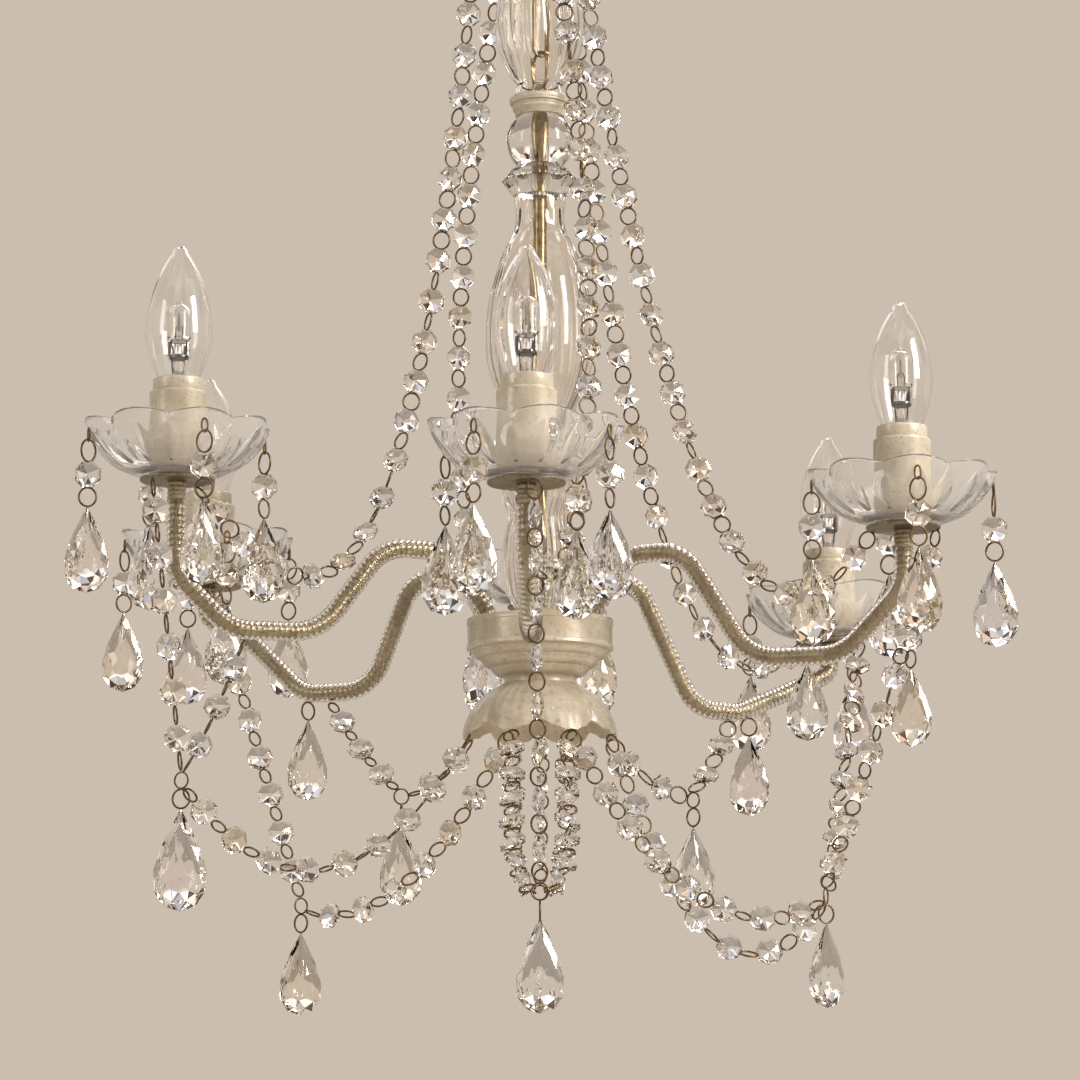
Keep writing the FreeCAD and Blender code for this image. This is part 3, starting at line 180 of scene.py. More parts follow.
def clear_glass(name, tint, ior, roughness, ripple, ripple_scale, clearness=1.0):
    """Clear glass with faint streaks in its tint and a gently uneven surface."""
    material, nodes, links, shader = new_material(name)
    waves = noise(nodes, links, ripple_scale, 3, 0.5, 0.6)
    paler = tuple(min(1.0, channel * 1.03) for channel in tint)
    tone = ramp(nodes, links, waves.outputs["Fac"], [(0.3, tint), (0.7, paler)])
    links.new(tone.outputs["Color"], shader.inputs["Base Color"])
    shader.inputs["Transmission Weight"].default_value = clearness
    shader.inputs["IOR"].default_value = ior
    shader.inputs["Roughness"].default_value = roughness
    bumped(nodes, links, shader, waves.outputs["Fac"], ripple, 0.0006)
    return material


def cut_crystal(name, ior):
    """Cut crystal: each stone has its own faint tint, kept with its corners."""
    material, nodes, links, shader = new_material(name)
    own = nodes.new("ShaderNodeAttribute")
    own.attribute_name = "tint"
    flaws = noise(nodes, links, 90, 3, 0.5)
    cloud = ramp(nodes, links, flaws.outputs["Fac"], [(0.3, (0.965, 0.96, 0.95)), (0.6, grey(1))])
    tinted = mixed(nodes, links, "MULTIPLY", 1.0, own.outputs["Color"], cloud.outputs["Color"])
    links.new(tinted, shader.inputs["Base Color"])
    shader.inputs["Transmission Weight"].default_value = 1.0
    shader.inputs["IOR"].default_value = ior
    shader.inputs["Roughness"].default_value = 0.005
    return material


# The third colour of each paint is the dark tone of its worn specks and of its painted shade in the hollows.
PAINT = painted_metal("cream_paint", (0.77, 0.69, 0.56), (0.56, 0.48, 0.35), (0.24, 0.18, 0.11), 0.36)
ARM_PAINT = painted_metal("arm_paint", (0.58, 0.5, 0.35), (0.36, 0.29, 0.18), (0.08, 0.055, 0.03), 0.4)
DARK_METAL = wire_metal("dark_metal", (0.3, 0.24, 0.16), (0.14, 0.11, 0.07), 0.34)
AGED_BRASS = wire_metal("aged_brass", (0.45, 0.36, 0.22), (0.2, 0.15, 0.08), 0.32)
RING_WIRE = wire_metal("ring_wire", (0.25, 0.17, 0.095), (0.09, 0.06, 0.035), 0.36)
PLATE_METAL = wire_metal("plate_metal", (0.42, 0.36, 0.27), (0.2, 0.16, 0.11), 0.4)
LAMP_WIRE = wire_metal("lamp_wire", (0.25, 0.24, 0.22), (0.08, 0.08, 0.08), 0.3)
GLASS = clear_glass("clear_glass", (0.955, 0.93, 0.89), 1.46, 0.01, 0.12, 60)
DISH_GLASS = clear_glass("dish_glass", (1.0, 0.985, 0.975), 1.4, 0.02, 0.08, 45, 0.9)
SLEEVE_GLASS = clear_glass("sleeve_glass", (0.98, 0.95, 0.89), 1.44, 0.13, 0.1, 150)
BULB_GLASS = clear_glass("bulb_glass", (1.0, 0.99, 0.985), 1.5, 0.0, 0.03, 40)
CAPSULE_GLASS = clear_glass("capsule_glass", (0.97, 0.96, 0.95), 1.45, 0.06, 0.1, 200)
CRYSTAL = cut_crystal("cut_crystal", 1.53)
CERAMIC = painted_metal("ceramic", (0.8, 0.77, 0.7), (0.7, 0.66, 0.58), (0.35, 0.3, 0.22), 0.2)

# ---------------------------------------------------------------- mesh helpers


class Mesh:
    """Corners and faces of one piece, gathered in millimetres."""

    def __init__(self):
        self.points = []
        self.faces = []
        self.tints = []

    def add(self, points, faces, matrix=None, tint=(1, 1, 1)):
        start = len(self.points)
        for point in points:
            self.points.append(matrix @ Vector(point) if matrix else Vector(point))
            self.tints.append(tint)
        self.faces.extend(tuple(start + index for index in face) for face in faces)

    def finish(self, name, material, body, smooth, replaced=()):
        """Makes the piece, smooth up to an angle in degrees (0 keeps every face flat)."""
        mesh = bpy.data.meshes.new(name)
        mesh.from_pydata([point * MM for point in self.points], [], self.faces)
        tint = mesh.attributes.new("tint", "FLOAT_COLOR", "POINT")
        tint.data.foreach_set("color", np.array([t + (1,) for t in self.tints], np.float32).ravel())
        joined = bmesh.new()
        joined.from_mesh(mesh)
        bmesh.ops.remove_doubles(joined, verts=joined.verts, dist=2e-6)
        bmesh.ops.dissolve_degenerate(joined, edges=joined.edges, dist=1e-6)
        joined.to_mesh(mesh)
        joined.free()
        if smooth:
            mesh.polygons.foreach_set("use_smooth", [True] * len(mesh.polygons))
            mesh.set_sharp_from_angle(angle=math.radians(smooth))
        piece = bpy.data.objects.new(name, mesh)
        bpy.context.scene.collection.objects.link(piece)
        mesh.materials.append(material)
        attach(piece, body)
        if replaced:
            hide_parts(*replaced)


def outline(corners, closed=False, step=1.5):
    """Points along corners (x, z[, sagitta]); a sagitta bulges the edge to the next corner outwards."""
    points = []
    count = len(corners)
    for index, corner in enumerate(corners):
        points.append((corner[0], corner[1]))
        if len(corner) < 3 or (index == count - 1 and not closed):
            continue
        after = corners[(index + 1) % count]
        run = after[0] - corner[0]
        rise = after[1] - corner[1]
        half = math.hypot(run, rise) / 2
        sagitta = corner[2]
        reach = (half ** 2 + sagitta ** 2) / (2 * sagitta)
        centre_x = (corner[0] + after[0]) / 2 + rise / (2 * half) * (sagitta - reach)
        centre_z = (corner[1] + after[1]) / 2 - run / (2 * half) * (sagitta - reach)
        sweep_angle = 4 * math.atan(sagitta / half)
        steps = max(3, int(2 * half / step))
        for part in range(1, steps):
            angle = sweep_angle * part / steps
            x = corner[0] - centre_x
            z = corner[1] - centre_z
            points.append((centre_x + x * math.cos(angle) - z * math.sin(angle),
                           centre_z + x * math.sin(angle) + z * math.cos(angle)))
    return points


def band(row, after, count, shift=0):
    """Faces between two rings of points, the second ring taken up with a shift."""
    faces = []
    for turn in range(count):
        beside = (turn + 1) % count
        faces.append((row * count + turn, row * count + beside,
                      after * count + (beside + shift) % count, after * count + (turn + shift) % count))
    return faces


def lathe(profile, count, shape=None, closed=False):
    """A turned form; shape(r, z, azimuth, index) may press each point in or out."""
    points = []
    faces = []
    for index, (r, z) in enumerate(profile):
        for turn in range(count):
            azimuth = 2 * math.pi * turn / count
            own_r, own_z = shape(r, z, azimuth, index) if shape else (r, z)
            points.append((own_r * math.sin(azimuth), -own_r * math.cos(azimuth), own_z))
    rows = len(profile)
    for row in range(rows if closed else rows - 1):
        faces += band(row, (row + 1) % rows, count)
    return points, faces


def shell(outer, wall):
    """Profile of a hollow form: up the outside and down the inside."""
    inner = [(max(r - wall, 0.5), z) for r, z in outer]
    return outer + inner[::-1]


def sweep(path, section_radius, count, closed=False):
    """A round wire along a path; section_radius is a number or a function of the point's index."""
    path = [Vector(point) for point in path]
    total = len(path)
    ways = []
    for index in range(total):
        before = path[index - 1] if index or closed else path[index]
        after = path[(index + 1) % total] if index < total - 1 or closed else path[index]
        ways.append((after - before).normalized())
    side = ways[0].orthogonal().normalized()
    points = []
    for index in range(total):
        side = (side - ways[index] * side.dot(ways[index])).normalized()
        up = ways[index].cross(side)
        reach = section_radius(index) if callable(section_radius) else section_radius
        for turn in range(count):
            angle = 2 * math.pi * turn / count
            points.append(path[index] + side * math.cos(angle) * reach + up * math.sin(angle) * reach)
    faces = []
    for row in range(total - 1):
        faces += band(row, row + 1, count)
    if closed:
        last = points[(total - 1) * count]
        shift = min(range(count), key=lambda k: (points[k] - last).length)
        faces += band(total - 1, 0, count, shift)
    else:
        faces.append(tuple(reversed(range(count))))
        faces.append(tuple((total - 1) * count + turn for turn in range(count)))
    return points, faces


def frame_of(spot, across, facing, way):
    """Matrix that puts local X, Y and Z along across, facing and way."""
    matrix = Matrix((across, facing, way)).transposed().to_4x4()
    matrix.translation = spot
    return matrix


def upright(x, y, z, azimuth=0.0):
    return Matrix.Translation(Vector((x, y, z))) @ Matrix.Rotation(math.radians(azimuth), 4, "Z")


def on_axis(z, azimuth=0.0):
    return upright(0, 0, z, azimuth)


def box_of(node):
    low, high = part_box(node)
    return low / MM, high / MM


def foot_of(node):
    return box_of(node)[0].z


def stadium(width, length, count=14):
    """A link's centre line in local XZ, centred: two half circles joined by straight runs."""
    bend = width / 2
    straight = length / 2 - bend
    points = []
    for index in range(count + 1):
        angle = math.pi * index / count
        points.append((bend * math.cos(angle), 0, straight + bend * math.sin(angle)))
    for index in range(count + 1):
        angle = math.pi + math.pi * index / count
        points.append((bend * math.cos(angle), 0, -straight + bend * math.sin(angle)))
    return points


def circle(reach, count=36):
    angles = [2 * math.pi * index / count for index in range(count)]
    return [(reach * math.cos(angle), 0, reach * math.sin(angle)) for angle in angles]


def wire_eye(reach, wire):
    """A small ring of round wire."""
    return sweep(circle(reach), wire, 12, closed=True)


# ---------------------------------------------------------------- hanging loop, crown and links

LOOP_REACH = 14
LOOP_WIRE = 2.0
CROWN_EYE = (5.5, 1.6)
CROWN_HOOK = (4.2, 1.2)
CROWN_HEIGHT = 16.5
EYE_HEIGHT = 21
HOOK_HEIGHT = 4.4

low, high = box_of("hanging_loop")
loop = Mesh()
loop.add(*sweep(circle(LOOP_REACH), LOOP_WIRE, 14, closed=True), on_axis((low.z + high.z) / 2))
loop.finish("loop_wire", DARK_METAL, "frame", 60, ["hanging_loop"])


def crown_ripples(r, z, azimuth, index):
    """Twelve low ripples round the crown's upper side."""
    return r, z + (0.5 * math.cos(12 * azimuth) if 20 < r < 40 and z > 3 else 0)


eye_centre = box_of("crown")[1].z - sum(CROWN_EYE)
crown_foot = eye_centre - EYE_HEIGHT
crown = Mesh()
crown_profile = outline([(0, 8), (8, 8, 2), (27, 0), (41, 0, 0.6), (42, 1.2, 0.3), (42, 2.5, -5),
                         (9, 12.2, 0.5), (8, 13), (8, 16), (7.4, CROWN_HEIGHT), (0, CROWN_HEIGHT)])
crown.add(*lathe(crown_profile, 96, crown_ripples), on_axis(crown_foot))
crown.add(*wire_eye(*CROWN_EYE), on_axis(eye_centre, 90))
crown.add(*wire_eye(*CROWN_HOOK), on_axis(crown_foot + HOOK_HEIGHT, -50))
crown.finish("crown_shell", PAINT, "frame", 40, ["crown"])

for node, width, wire, turn in (("long_link", 10.4, 1.9, 30), ("oval_link", 14, 2.1, -50)):
    low, high = box_of(node)
    link = Mesh()
    link.add(*sweep(stadium(width - wire, high.z - low.z - wire), wire / 2, 12, closed=True),
             on_axis((low.z + high.z) / 2, turn))
    link.finish(node + "_wire", AGED_BRASS, "frame", 60, [node])

# ---------------------------------------------------------------- glass column

ROD_BORE = 4.6
VASE_WALL = 2.6


def fluted(count, depth, low_z, high_z, sharp=1.0, twist=0.0):
    """Presses flutes between two heights, fading out at both."""

    def press(r, z, azimuth, index):
        share = (z - low_z) / (high_z - low_z)
        if not 0 < share < 1:
            return r, z
        fade = math.sin(math.pi * share) ** 0.6
        wave = abs(math.cos(count / 2 * azimuth + twist * share))
        return r - depth * fade * (1 - wave ** sharp), z

    return press


low, high = box_of("crown_vase")
height = high.z - low.z
crown_vase = Mesh()
crown_vase_side = outline([(15, 0), (13, height * 0.08, 5), (25, height * 0.6, 1.5), (22, height)])
crown_vase.add(*lathe(shell(crown_vase_side, VASE_WALL), 120,
                      fluted(12, 2.0, height * 0.1, height * 1.02, 1.0, 1.1), closed=True), on_axis(low.z))
crown_vase.finish("crown_vase_glass", GLASS, "frame", 50, ["crown_vase"])

low, high = box_of("column_cap")
cap = Mesh()
cap_profile = outline([(0, 0), (13.9, 0), (14.6, 2.75, 0.8), (15.3, 5.5, 0.2), (15.6, 6.2, -0.3),
                       (16.2, 7, 0.5), (17, 8, 0.5), (17, 10.4, 0.3), (16.4, 11), (8, 11.3), (0, 11.3)])
cap.add(*lathe(cap_profile, 72), on_axis(low.z))
cap.add(*wire_eye(4.4, 1.2), on_axis(high.z - 5.6, 30))
cap.finish("cap_turned", PAINT, "frame", 40, ["column_cap"])

BALL_HEIGHT = 29
ball = Mesh()
ball_profile = outline([(ROD_BORE, 0), (12, 0, 7.5), (12, BALL_HEIGHT), (ROD_BORE, BALL_HEIGHT)])
ball.add(*lathe(ball_profile, 96, fluted(10, 0.5, 2, 27, 1.2)), on_axis(foot_of("glass_ball")))
ball.add(*lathe([(ROD_BORE, BALL_HEIGHT), (ROD_BORE, 0)], 96), on_axis(foot_of("glass_ball")))
ball.finish("ball_glass", GLASS, "frame", 50, ["glass_ball"])


def collar_facets(r, z, azimuth, index):
    """Twelve flat cuts round the collar, set off by half a step below its girdle."""
    step = math.pi / 6
    offset = (azimuth + (step / 2 if z < 8 else 0)) % step - step / 2
    return r * math.cos(step / 2) / math.cos(offset) if r > 5 else r, z


COLLAR_HEIGHT = 18
collar = Mesh()
collar_profile = [(ROD_BORE, 0), (15, 0), (18, 3.5), (21.5, 8.5), (21.5, 9.5), (18.6, 14), (15.5, 16),
                  (12.5, COLLAR_HEIGHT), (ROD_BORE, COLLAR_HEIGHT)]
collar.add(*lathe(collar_profile, 96, collar_facets), on_axis(foot_of("glass_collar")))
collar.add(*lathe([(ROD_BORE, COLLAR_HEIGHT), (ROD_BORE, 0)], 96), on_axis(foot_of("glass_collar")))
collar.finish("collar_glass", GLASS, "frame", 12, ["glass_collar"])

NECK_CUTS = (92, 140)


def vase_cuts(r, z, azimuth, index):
    """Long flutes on the belly and rows of small hollows round the neck."""
    r, z = fluted(12, 1.4, 6, 116, 1.0)(r, z, azimuth, index)
    start, end = NECK_CUTS
    if start < z < end:
        row = math.sin((z - start) / (end - start) * math.pi * 4)
        r -= 0.5 * max(0.0, row * math.cos(8 * azimuth))
    return r, z


vase = Mesh()
vase_side = outline([(14, 0, -1.5), (22.6, 29, 1.6), (30.5, 58, 5), (15, 126.4, -0.8), (15, 147)], step=2.5)
vase.add(*lathe(shell(vase_side, VASE_WALL), 144, vase_cuts, closed=True), on_axis(foot_of("column_vase")))
vase.finish("vase_glass", GLASS, "frame", 50, ["column_vase"])

lower_vase = Mesh()
lower_vase_side = outline([(11, 0, 2.5), (21, 25, 1.5), (18.5, 51, -1.2), (22, 66, 4), (14, 93)], step=2.5)
lower_vase.add(*lathe(shell(lower_vase_side, VASE_WALL), 160, fluted(16, 1.9, 3, 90, 0.8), closed=True),
               on_axis(foot_of("lower_vase")))
lower_vase.finish("lower_vase_glass", GLASS, "frame", 50, ["lower_vase"])

# ---------------------------------------------------------------- hub, petal dish and finial

hub = Mesh()
hub_profile = outline([(ROD_BORE, 0), (20, 0, -0.6), (21, 4.2, 1.0), (26.8, 7.2, 0.2), (27.8, 8.8, 1.0),
                       (32.6, 12.6, 0.2), (33.6, 14, 0.9), (37.8, 17.5, 0.3), (38.6, 18.6, 0.3),
                       (40.6, 19, 0.3), (41, 19.8), (41, 21.2), (40.5, 21.8), (40.5, 32.6), (41, 33.2),
                       (41, 34.8, 0.5), (40.2, 36), (39, 36), (39, 27), (38.3, 27), (38.3, 20), (25, 12),
                       (ROD_BORE, 12)], closed=True)
hub.add(*lathe(hub_profile, 96, closed=True), on_axis(foot_of("hub")))
hub.finish("hub_turned", PAINT, "frame", 32, ["hub"])

PETALS = 8
PETAL_RIM = 45
PETAL_WAIST = 20
PETAL_FLUTE = 0.45
PETAL_FOLD = 7.0


def lobed(offset, centre, radius):
    """Distance to the rim of a lobe whose circle stands off the axis."""
    return centre * math.cos(offset) + math.sqrt(max(0.0, radius ** 2 - (centre * math.sin(offset)) ** 2))


def petal_press(r, z, azimuth, index):
    """Petals with fine flutes, their rim rising in a fold between one petal and the next."""
    step = 2 * math.pi / PETALS
    offset = abs((azimuth % step) - step / 2)
    share = max(0.0, (r - PETAL_WAIST) / (PETAL_RIM - PETAL_WAIST))
    own = r * (1 - share) + min(r, r * lobed(offset, 26, 19) / PETAL_RIM) * share
    between = offset / (step / 2)
    flutes = PETAL_FLUTE * math.cos(5 * math.pi * between) * share
    fold = between ** 1.7 * PETAL_FOLD * share ** 1.6
    return own, z + flutes + fold


dish = Mesh()
dish_outer = outline([(PETAL_RIM, 0, 4.5), (PETAL_WAIST, 30)], step=2)
dish_inner = [(r - 1.4, max(z - 0.8, 0)) for r, z in dish_outer]
dish_profile = [(ROD_BORE, 29)] + dish_inner[::-1] + dish_outer + [(ROD_BORE, 30)]
dish.add(*lathe(dish_profile, 160, petal_press, closed=True), on_axis(foot_of("petal_dish")))
dish.finish("petal_dish_leafed", PAINT, "frame", 45, ["petal_dish"])

finial = Mesh()
finial_profile = outline([(4.1, 0), (5.4, 0, 1), (9, 6, 0.8), (7.2, 10.4), (4.1, 10.4)], closed=True)
finial.add(*lathe(finial_profile, 48, closed=True), on_axis(foot_of("finial_nut")))
finial.finish("finial_turned", PAINT, "frame", 40, ["finial_nut"])

# ---------------------------------------------------------------- arms


def rounded(corners, step):
    """Points at even steps along corners (out, height, bend radius)."""
    track = [Vector(corners[0][:2])]
    for before, corner, after in zip(corners, corners[1:], corners[2:]):
        middle = Vector(corner[:2])
        back = (Vector(before[:2]) - middle).normalized()
        ahead = (Vector(after[:2]) - middle).normalized()
        half = math.acos(max(-1, min(1, back.dot(ahead)))) / 2
        length = corner[2] / math.tan(half)
        centre = middle + (back + ahead).normalized() * (corner[2] / math.sin(half))
        first = middle + back * length - centre
        last = middle + ahead * length - centre
        turn = math.atan2(first.x * last.y - first.y * last.x, first.dot(last))
        steps = max(4, int(abs(turn) * corner[2] / step))
        for index in range(steps + 1):
            angle = turn * index / steps
            track.append(centre + Vector((first.x * math.cos(angle) - first.y * math.sin(angle),
                                          first.x * math.sin(angle) + first.y * math.cos(angle))))
    track.append(Vector(corners[-1][:2]))
    even = [track[0]]
    left = step
    for before, after in zip(track, track[1:]):
        length = (after - before).length
        while length >= left:
            even.append(before + (after - before) * (left / length))
            left += step
        left -= length
    even.append(track[-1])
    return even


# The sleeve starts just over the hub's rim and ends below the ribbed collar under the lamp.
RIB_PITCH = 3.3
SAMPLE = 0.55
SLEEVE_BORE = 3.95
SLEEVE_GROOVE = 4.5
RIB_RISE = 0.85
SLEEVE_START = 0.6
HUB_SIDE = 60
COLLAR_LENGTH = 10.3


def ribs(index):
    phase = index * SAMPLE / RIB_PITCH % 1
    return SLEEVE_GROOVE + RIB_RISE * math.sin(math.pi * phase) ** 0.8


for arm_name in ARM_NAMES:
    disc_level = foot_of("candle_cup_" + arm_name) - HUB_RIM
    corners = ARM_FOOT + ARM_BENDS[arm_name] + [(ARM_REACH, disc_level - COLLAR_LENGTH, None)]
    path = [point for point in rounded(corners, SAMPLE) if point.y > SLEEVE_START or point.x > HUB_SIDE]
    azimuth = math.radians(ARM_AZIMUTHS[arm_name])
    line = [(p.x * math.sin(azimuth), -p.x * math.cos(azimuth), p.y + HUB_RIM) for p in path]
    sleeve = Mesh()
    sleeve.add(*sweep(line, ribs, 18))
    points, faces = sweep(line, SLEEVE_BORE, 18)
    sleeve.add(points, [face[::-1] for face in faces])
    replaced = ["arm_sleeves"] if arm_name == "front" else []
    sleeve.finish("sleeve_" + arm_name, SLEEVE_GLASS, "frame", 50, replaced)

# ---------------------------------------------------------------- lamps

PLATE_HEIGHT = 3.2
CUP_HEIGHT = 56
BULB_SINK = 4.2
BULB_HEIGHT = 68.5
BULB_BELLY = 17
plate_profile = outline([(4.1, 0), (19, 0, 0.3), (20, 0.8, 0.2), (19.8, 1.6, -0.5), (15.3, 2.4, 0.2),
                         (14.3, PLATE_HEIGHT), (4.1, PLATE_HEIGHT)], closed=True)
cup_profile = outline([(4.1, PLATE_HEIGHT), (14.3, PLATE_HEIGHT, -0.3), (15.5, 10.6), (15.5, 47.2, 0.3),
                       (15.1, 48.4, 0.2), (14.4, 49), (13.9, 49.1, -0.2), (13.7, 49.8), (13.7, 55, 0.2),
                       (13.2, CUP_HEIGHT), (12.3, CUP_HEIGHT), (12.3, 47.5), (14, 47.5), (14, 10.6),
                       (12.8, 4.1), (4.1, 4.1)], closed=True)

FLUTES = 16
LOBES = 8
DISH_RIM = 51
DISH_HEIGHT = 28.8
RIM_DIP = 2.9
FLUTE_DEPTH = 1.7
FLUTE_REACH = 0.125
DISH_FLANK = outline([(19.2, 0, 6.5), (DISH_RIM, 28.2)], step=1.3)
DISH_LIP = [(DISH_RIM, 28.6), (50, DISH_HEIGHT), (49, 28.4)]
DISH_INSIDE = outline([(48.6, 28.0, -6.5), (18.8, 2.6)], step=1.3)
DISH_PROFILE = [(15.7, 0)] + DISH_FLANK + DISH_LIP + DISH_INSIDE + [(15.7, 2.6)]
OUTSIDE_OF_DISH = range(1, len(DISH_FLANK) + 1)


def bobeche_press(r, z, azimuth, index):
    """Scallops towards the rim, and lens-shaped hollows in the outer face only."""
    step = 2 * math.pi / LOBES
    offset = abs((azimuth + step / 2) % step - step / 2)
    share = min(1.0, max(0.0, z / DISH_HEIGHT))
    own = r * (1 - (1 - lobed(offset, 30, 21) / DISH_RIM) * share ** 1.6)
    rim = max(0.0, (share - 0.55) / 0.45)
    own_z = z - RIM_DIP * (offset / (step / 2)) ** 1.6 * rim ** 1.5
    flute_step = 2 * math.pi / FLUTES
    flute = abs((azimuth + flute_step / 2) % flute_step - flute_step / 2)
    along = (share - 0.12) / 0.66
    if 0 < along < 1 and index in OUTSIDE_OF_DISH:
        reach = FLUTE_REACH * math.sin(math.pi * along ** 0.85) ** 0.8
        if flute < reach:
            own -= FLUTE_DEPTH * (1 - (flute / reach) ** 2)
    return own, own_z


ENVELOPE_WALL = 1.1
TIP_WALL = 1.2
SCREW_TURNS = 5
SCREW_PITCH = 3
CAPSULE_WALL = 0.9
LEADS_TURN = 10


def build_envelope(name, scale, seat, body, replaced):
    """The bulb's thin glass, from its neck to the drawn-out tip."""
    height = BULB_HEIGHT * scale + BULB_SINK
    outer = outline([(7.5, 0.2), (10.5, 0.2), (10.5, 3, 0.9), (BULB_BELLY * scale, 27, 3.7),
                     (4.6, height - 4.4, 1.1), (0.6, height - 0.1), (0, height)], step=1.6)
    inner = [(max(r - ENVELOPE_WALL, 0.0), min(z, height - TIP_WALL))
             for r, z in outer if r > ENVELOPE_WALL + 0.2]
    envelope = Mesh()
    envelope.add(*lathe(outer + [(0, height - TIP_WALL - 0.1)] + inner[::-1], 72, closed=True), seat)
    envelope.finish(name, BULB_GLASS, body, 40, [replaced])


def build_screw_base(name, seat, body):
    """The bulb's threaded base, from its contact up to its collar."""
    profile = [(0, -23), (2.8, -23), (4.9, -21), (6.6, -19)]
    for turn in range(SCREW_TURNS):
        foot = SCREW_PITCH * turn
        profile += [(6.6, foot - 18.4), (7, foot - 17.4), (7, foot - 16.9), (6.6, foot - 16)]
    profile += [(7, -3), (7, 0), (8.5, 0.6), (8.8, 2.2), (5, 3), (0, 3)]
    base = Mesh()
    base.add(*lathe(profile, 40), seat)
    base.finish(name, AGED_BRASS, body, 30)


def build_capsule(name, seat, body):
    """The halogen capsule and the glass stem that carries it."""
    outer = outline([(5.0, 25.5), (6.4, 27.0), (6.5, 38.6, 1.6), (2.2, 45.2, 0.4), (0.9, 47), (0, 47.2)],
                    step=1)
    inner = [(max(r - CAPSULE_WALL, 0.05), z - 0.5) for r, z in outer if r > 1.0]
    stem = outline([(4.6, 3), (3.4, 7, -0.4), (2.6, 14), (3.2, 21), (4.8, 25.6), (0, 25.6)], step=1.5)
    capsule = Mesh()
    capsule.add(*lathe(outer + inner[::-1], 40, closed=True), seat)
    capsule.add(*lathe([(0, 3)] + stem, 32), seat)
    capsule.finish(name, CAPSULE_GLASS, body, 40)


def build_lamp_wires(name, seat, turned_seat, body):
    """Leads, pins, the filament's coil and the small disc that holds the capsule."""
    wires = Mesh()
    for side in (-1, 1):
        lead = [(side * 2.6, 0, 3), (side * 3.4, 0, 12), (side * 4.2, 0, 20), (side * 4.0, 0, 25.5)]
        pin = [(side * 2.0, 0, 26), (side * 1.9, 0, 31), (side * 1.3, 0, 33.5)]
        clamp = [(side * 4.4, 0, 17), (side * 4.4, 0, 24.8)]
        wires.add(*sweep(lead, 0.5, 8), turned_seat)
        wires.add(*sweep(pin, 0.32, 6), turned_seat)
        wires.add(*sweep(clamp, 1.5, 8), turned_seat)
    coil = [(0.8 * math.cos(0.9 * i), 0.8 * math.sin(0.9 * i), 31 + 0.11 * i) for i in range(90)]
    wires.add(*sweep(coil, 0.16, 5), seat)
    wires.add(*lathe([(0, 15.4), (5.2, 15.4), (5.4, 16), (5.4, 17), (5.2, 17.4), (0, 17.4)], 24), seat)
    wires.finish(name, LAMP_WIRE, body, 40)


for arm_name in ARM_NAMES:
    cup_low, cup_high = box_of("candle_cup_" + arm_name)
    x, y, z = (cup_low.x + cup_high.x) / 2, (cup_low.y + cup_high.y) / 2, cup_low.z
    cup = Mesh()
    cup.add(*lathe(cup_profile, 72, closed=True), upright(x, y, z))
    cup.finish("cup_" + arm_name, PAINT, "frame", 30, ["candle_cup_" + arm_name])
    plate = Mesh()
    plate.add(*lathe(plate_profile, 72, closed=True), upright(x, y, z))
    plate.finish("lamp_plate_" + arm_name, PLATE_METAL, "frame", 30)

    bowl = Mesh()
    bowl.add(*lathe(DISH_PROFILE, 192, bobeche_press, closed=True),
             upright(x, y, z + PLATE_HEIGHT, DROP_AZIMUTHS[arm_name]))
    bowl.finish("dish_glass_" + arm_name, DISH_GLASS, "dish_" + arm_name, 40,
                ["bobeche_" + arm_name])

    seat = upright(x, y, z + CUP_HEIGHT - BULB_SINK)
    turned_seat = upright(x, y, z + CUP_HEIGHT - BULB_SINK, LEADS_TURN)
    body = "lamp_" + arm_name
    build_envelope("envelope_" + arm_name, BULB_SCALES.get(arm_name, 1.0), seat, body, "bulb_" + arm_name)
    build_screw_base("screw_base_" + arm_name, seat, body)
    build_capsule("capsule_" + arm_name, seat, body)
    build_lamp_wires("lamp_wires_" + arm_name, seat, turned_seat, body)

# ---------------------------------------------------------------- crystals

UP = Vector((0, 0, 1))
STONE_REACH = 7
STONE_DEPTH = 3.5
STONE_JITTER = 0.12
ALMOND_CUTS = [(1.0, 0.05), (0.76, 0.25), (0.48, 0.4), (0.22, 0.47)]
ALMOND_DEPTH = 0.22
RING_RADIUS = 0.57
FLAT_SOLID = 1.3
TALL_SOLID = 30
LINK_CORNERS = 20
SMALL_LINK = 3.3
LINK_TWISTS = (0.2, 0.2, 0.2, 0.7, 0.7, 1.15)
# A ring's centre line runs through the ends of its solid link and inside its sides. It is drawn a
# little larger than that, except where drops or pendants move close by.
RING_INSET = 0.45
RING_SPARE = 0.35
SMALL_LINK_WIDTH = 1.7
SMALL_LINK_SPARE = 0.9
JOINING_RING = (4.3, 4.3, 0.5)
ALMOND_HANG = 6
STONE_LOOK = 0.5
STRAND_REACH = 15
# This near to the front and back lamps, stones and rings keep the planes of their solids, to leave
# room for the drops that turn with the dishes.
DROP_SWEEP = 68
STONE_TINTS = [((1.0, 0.992, 0.98), 8), ((1.0, 0.965, 0.92), 5), ((0.99, 0.93, 0.85), 3),
               ((0.96, 0.965, 1.0), 3), ((1.0, 0.955, 0.945), 2), ((0.95, 0.87, 0.76), 1)]


def solids_in(node):
    """Corner points of each solid of a node, in millimetres."""
    work = bmesh.new()
    work.from_mesh(NODES[node].data)
    bmesh.ops.remove_doubles(work, verts=work.verts, dist=2e-5)
    seen = set()
    found = []
    for vert in work.verts:
        if vert.index in seen:
            continue
        seen.add(vert.index)
        heap = [vert]
        points = []
        while heap:
            one = heap.pop()
            points.append(one.co / MM)
            for edge in one.link_edges:
                other = edge.other_vert(one)
                if other.index not in seen:
                    seen.add(other.index)
                    heap.append(other)
        found.append(np.array([tuple(point) for point in points]))
    work.free()
    return found


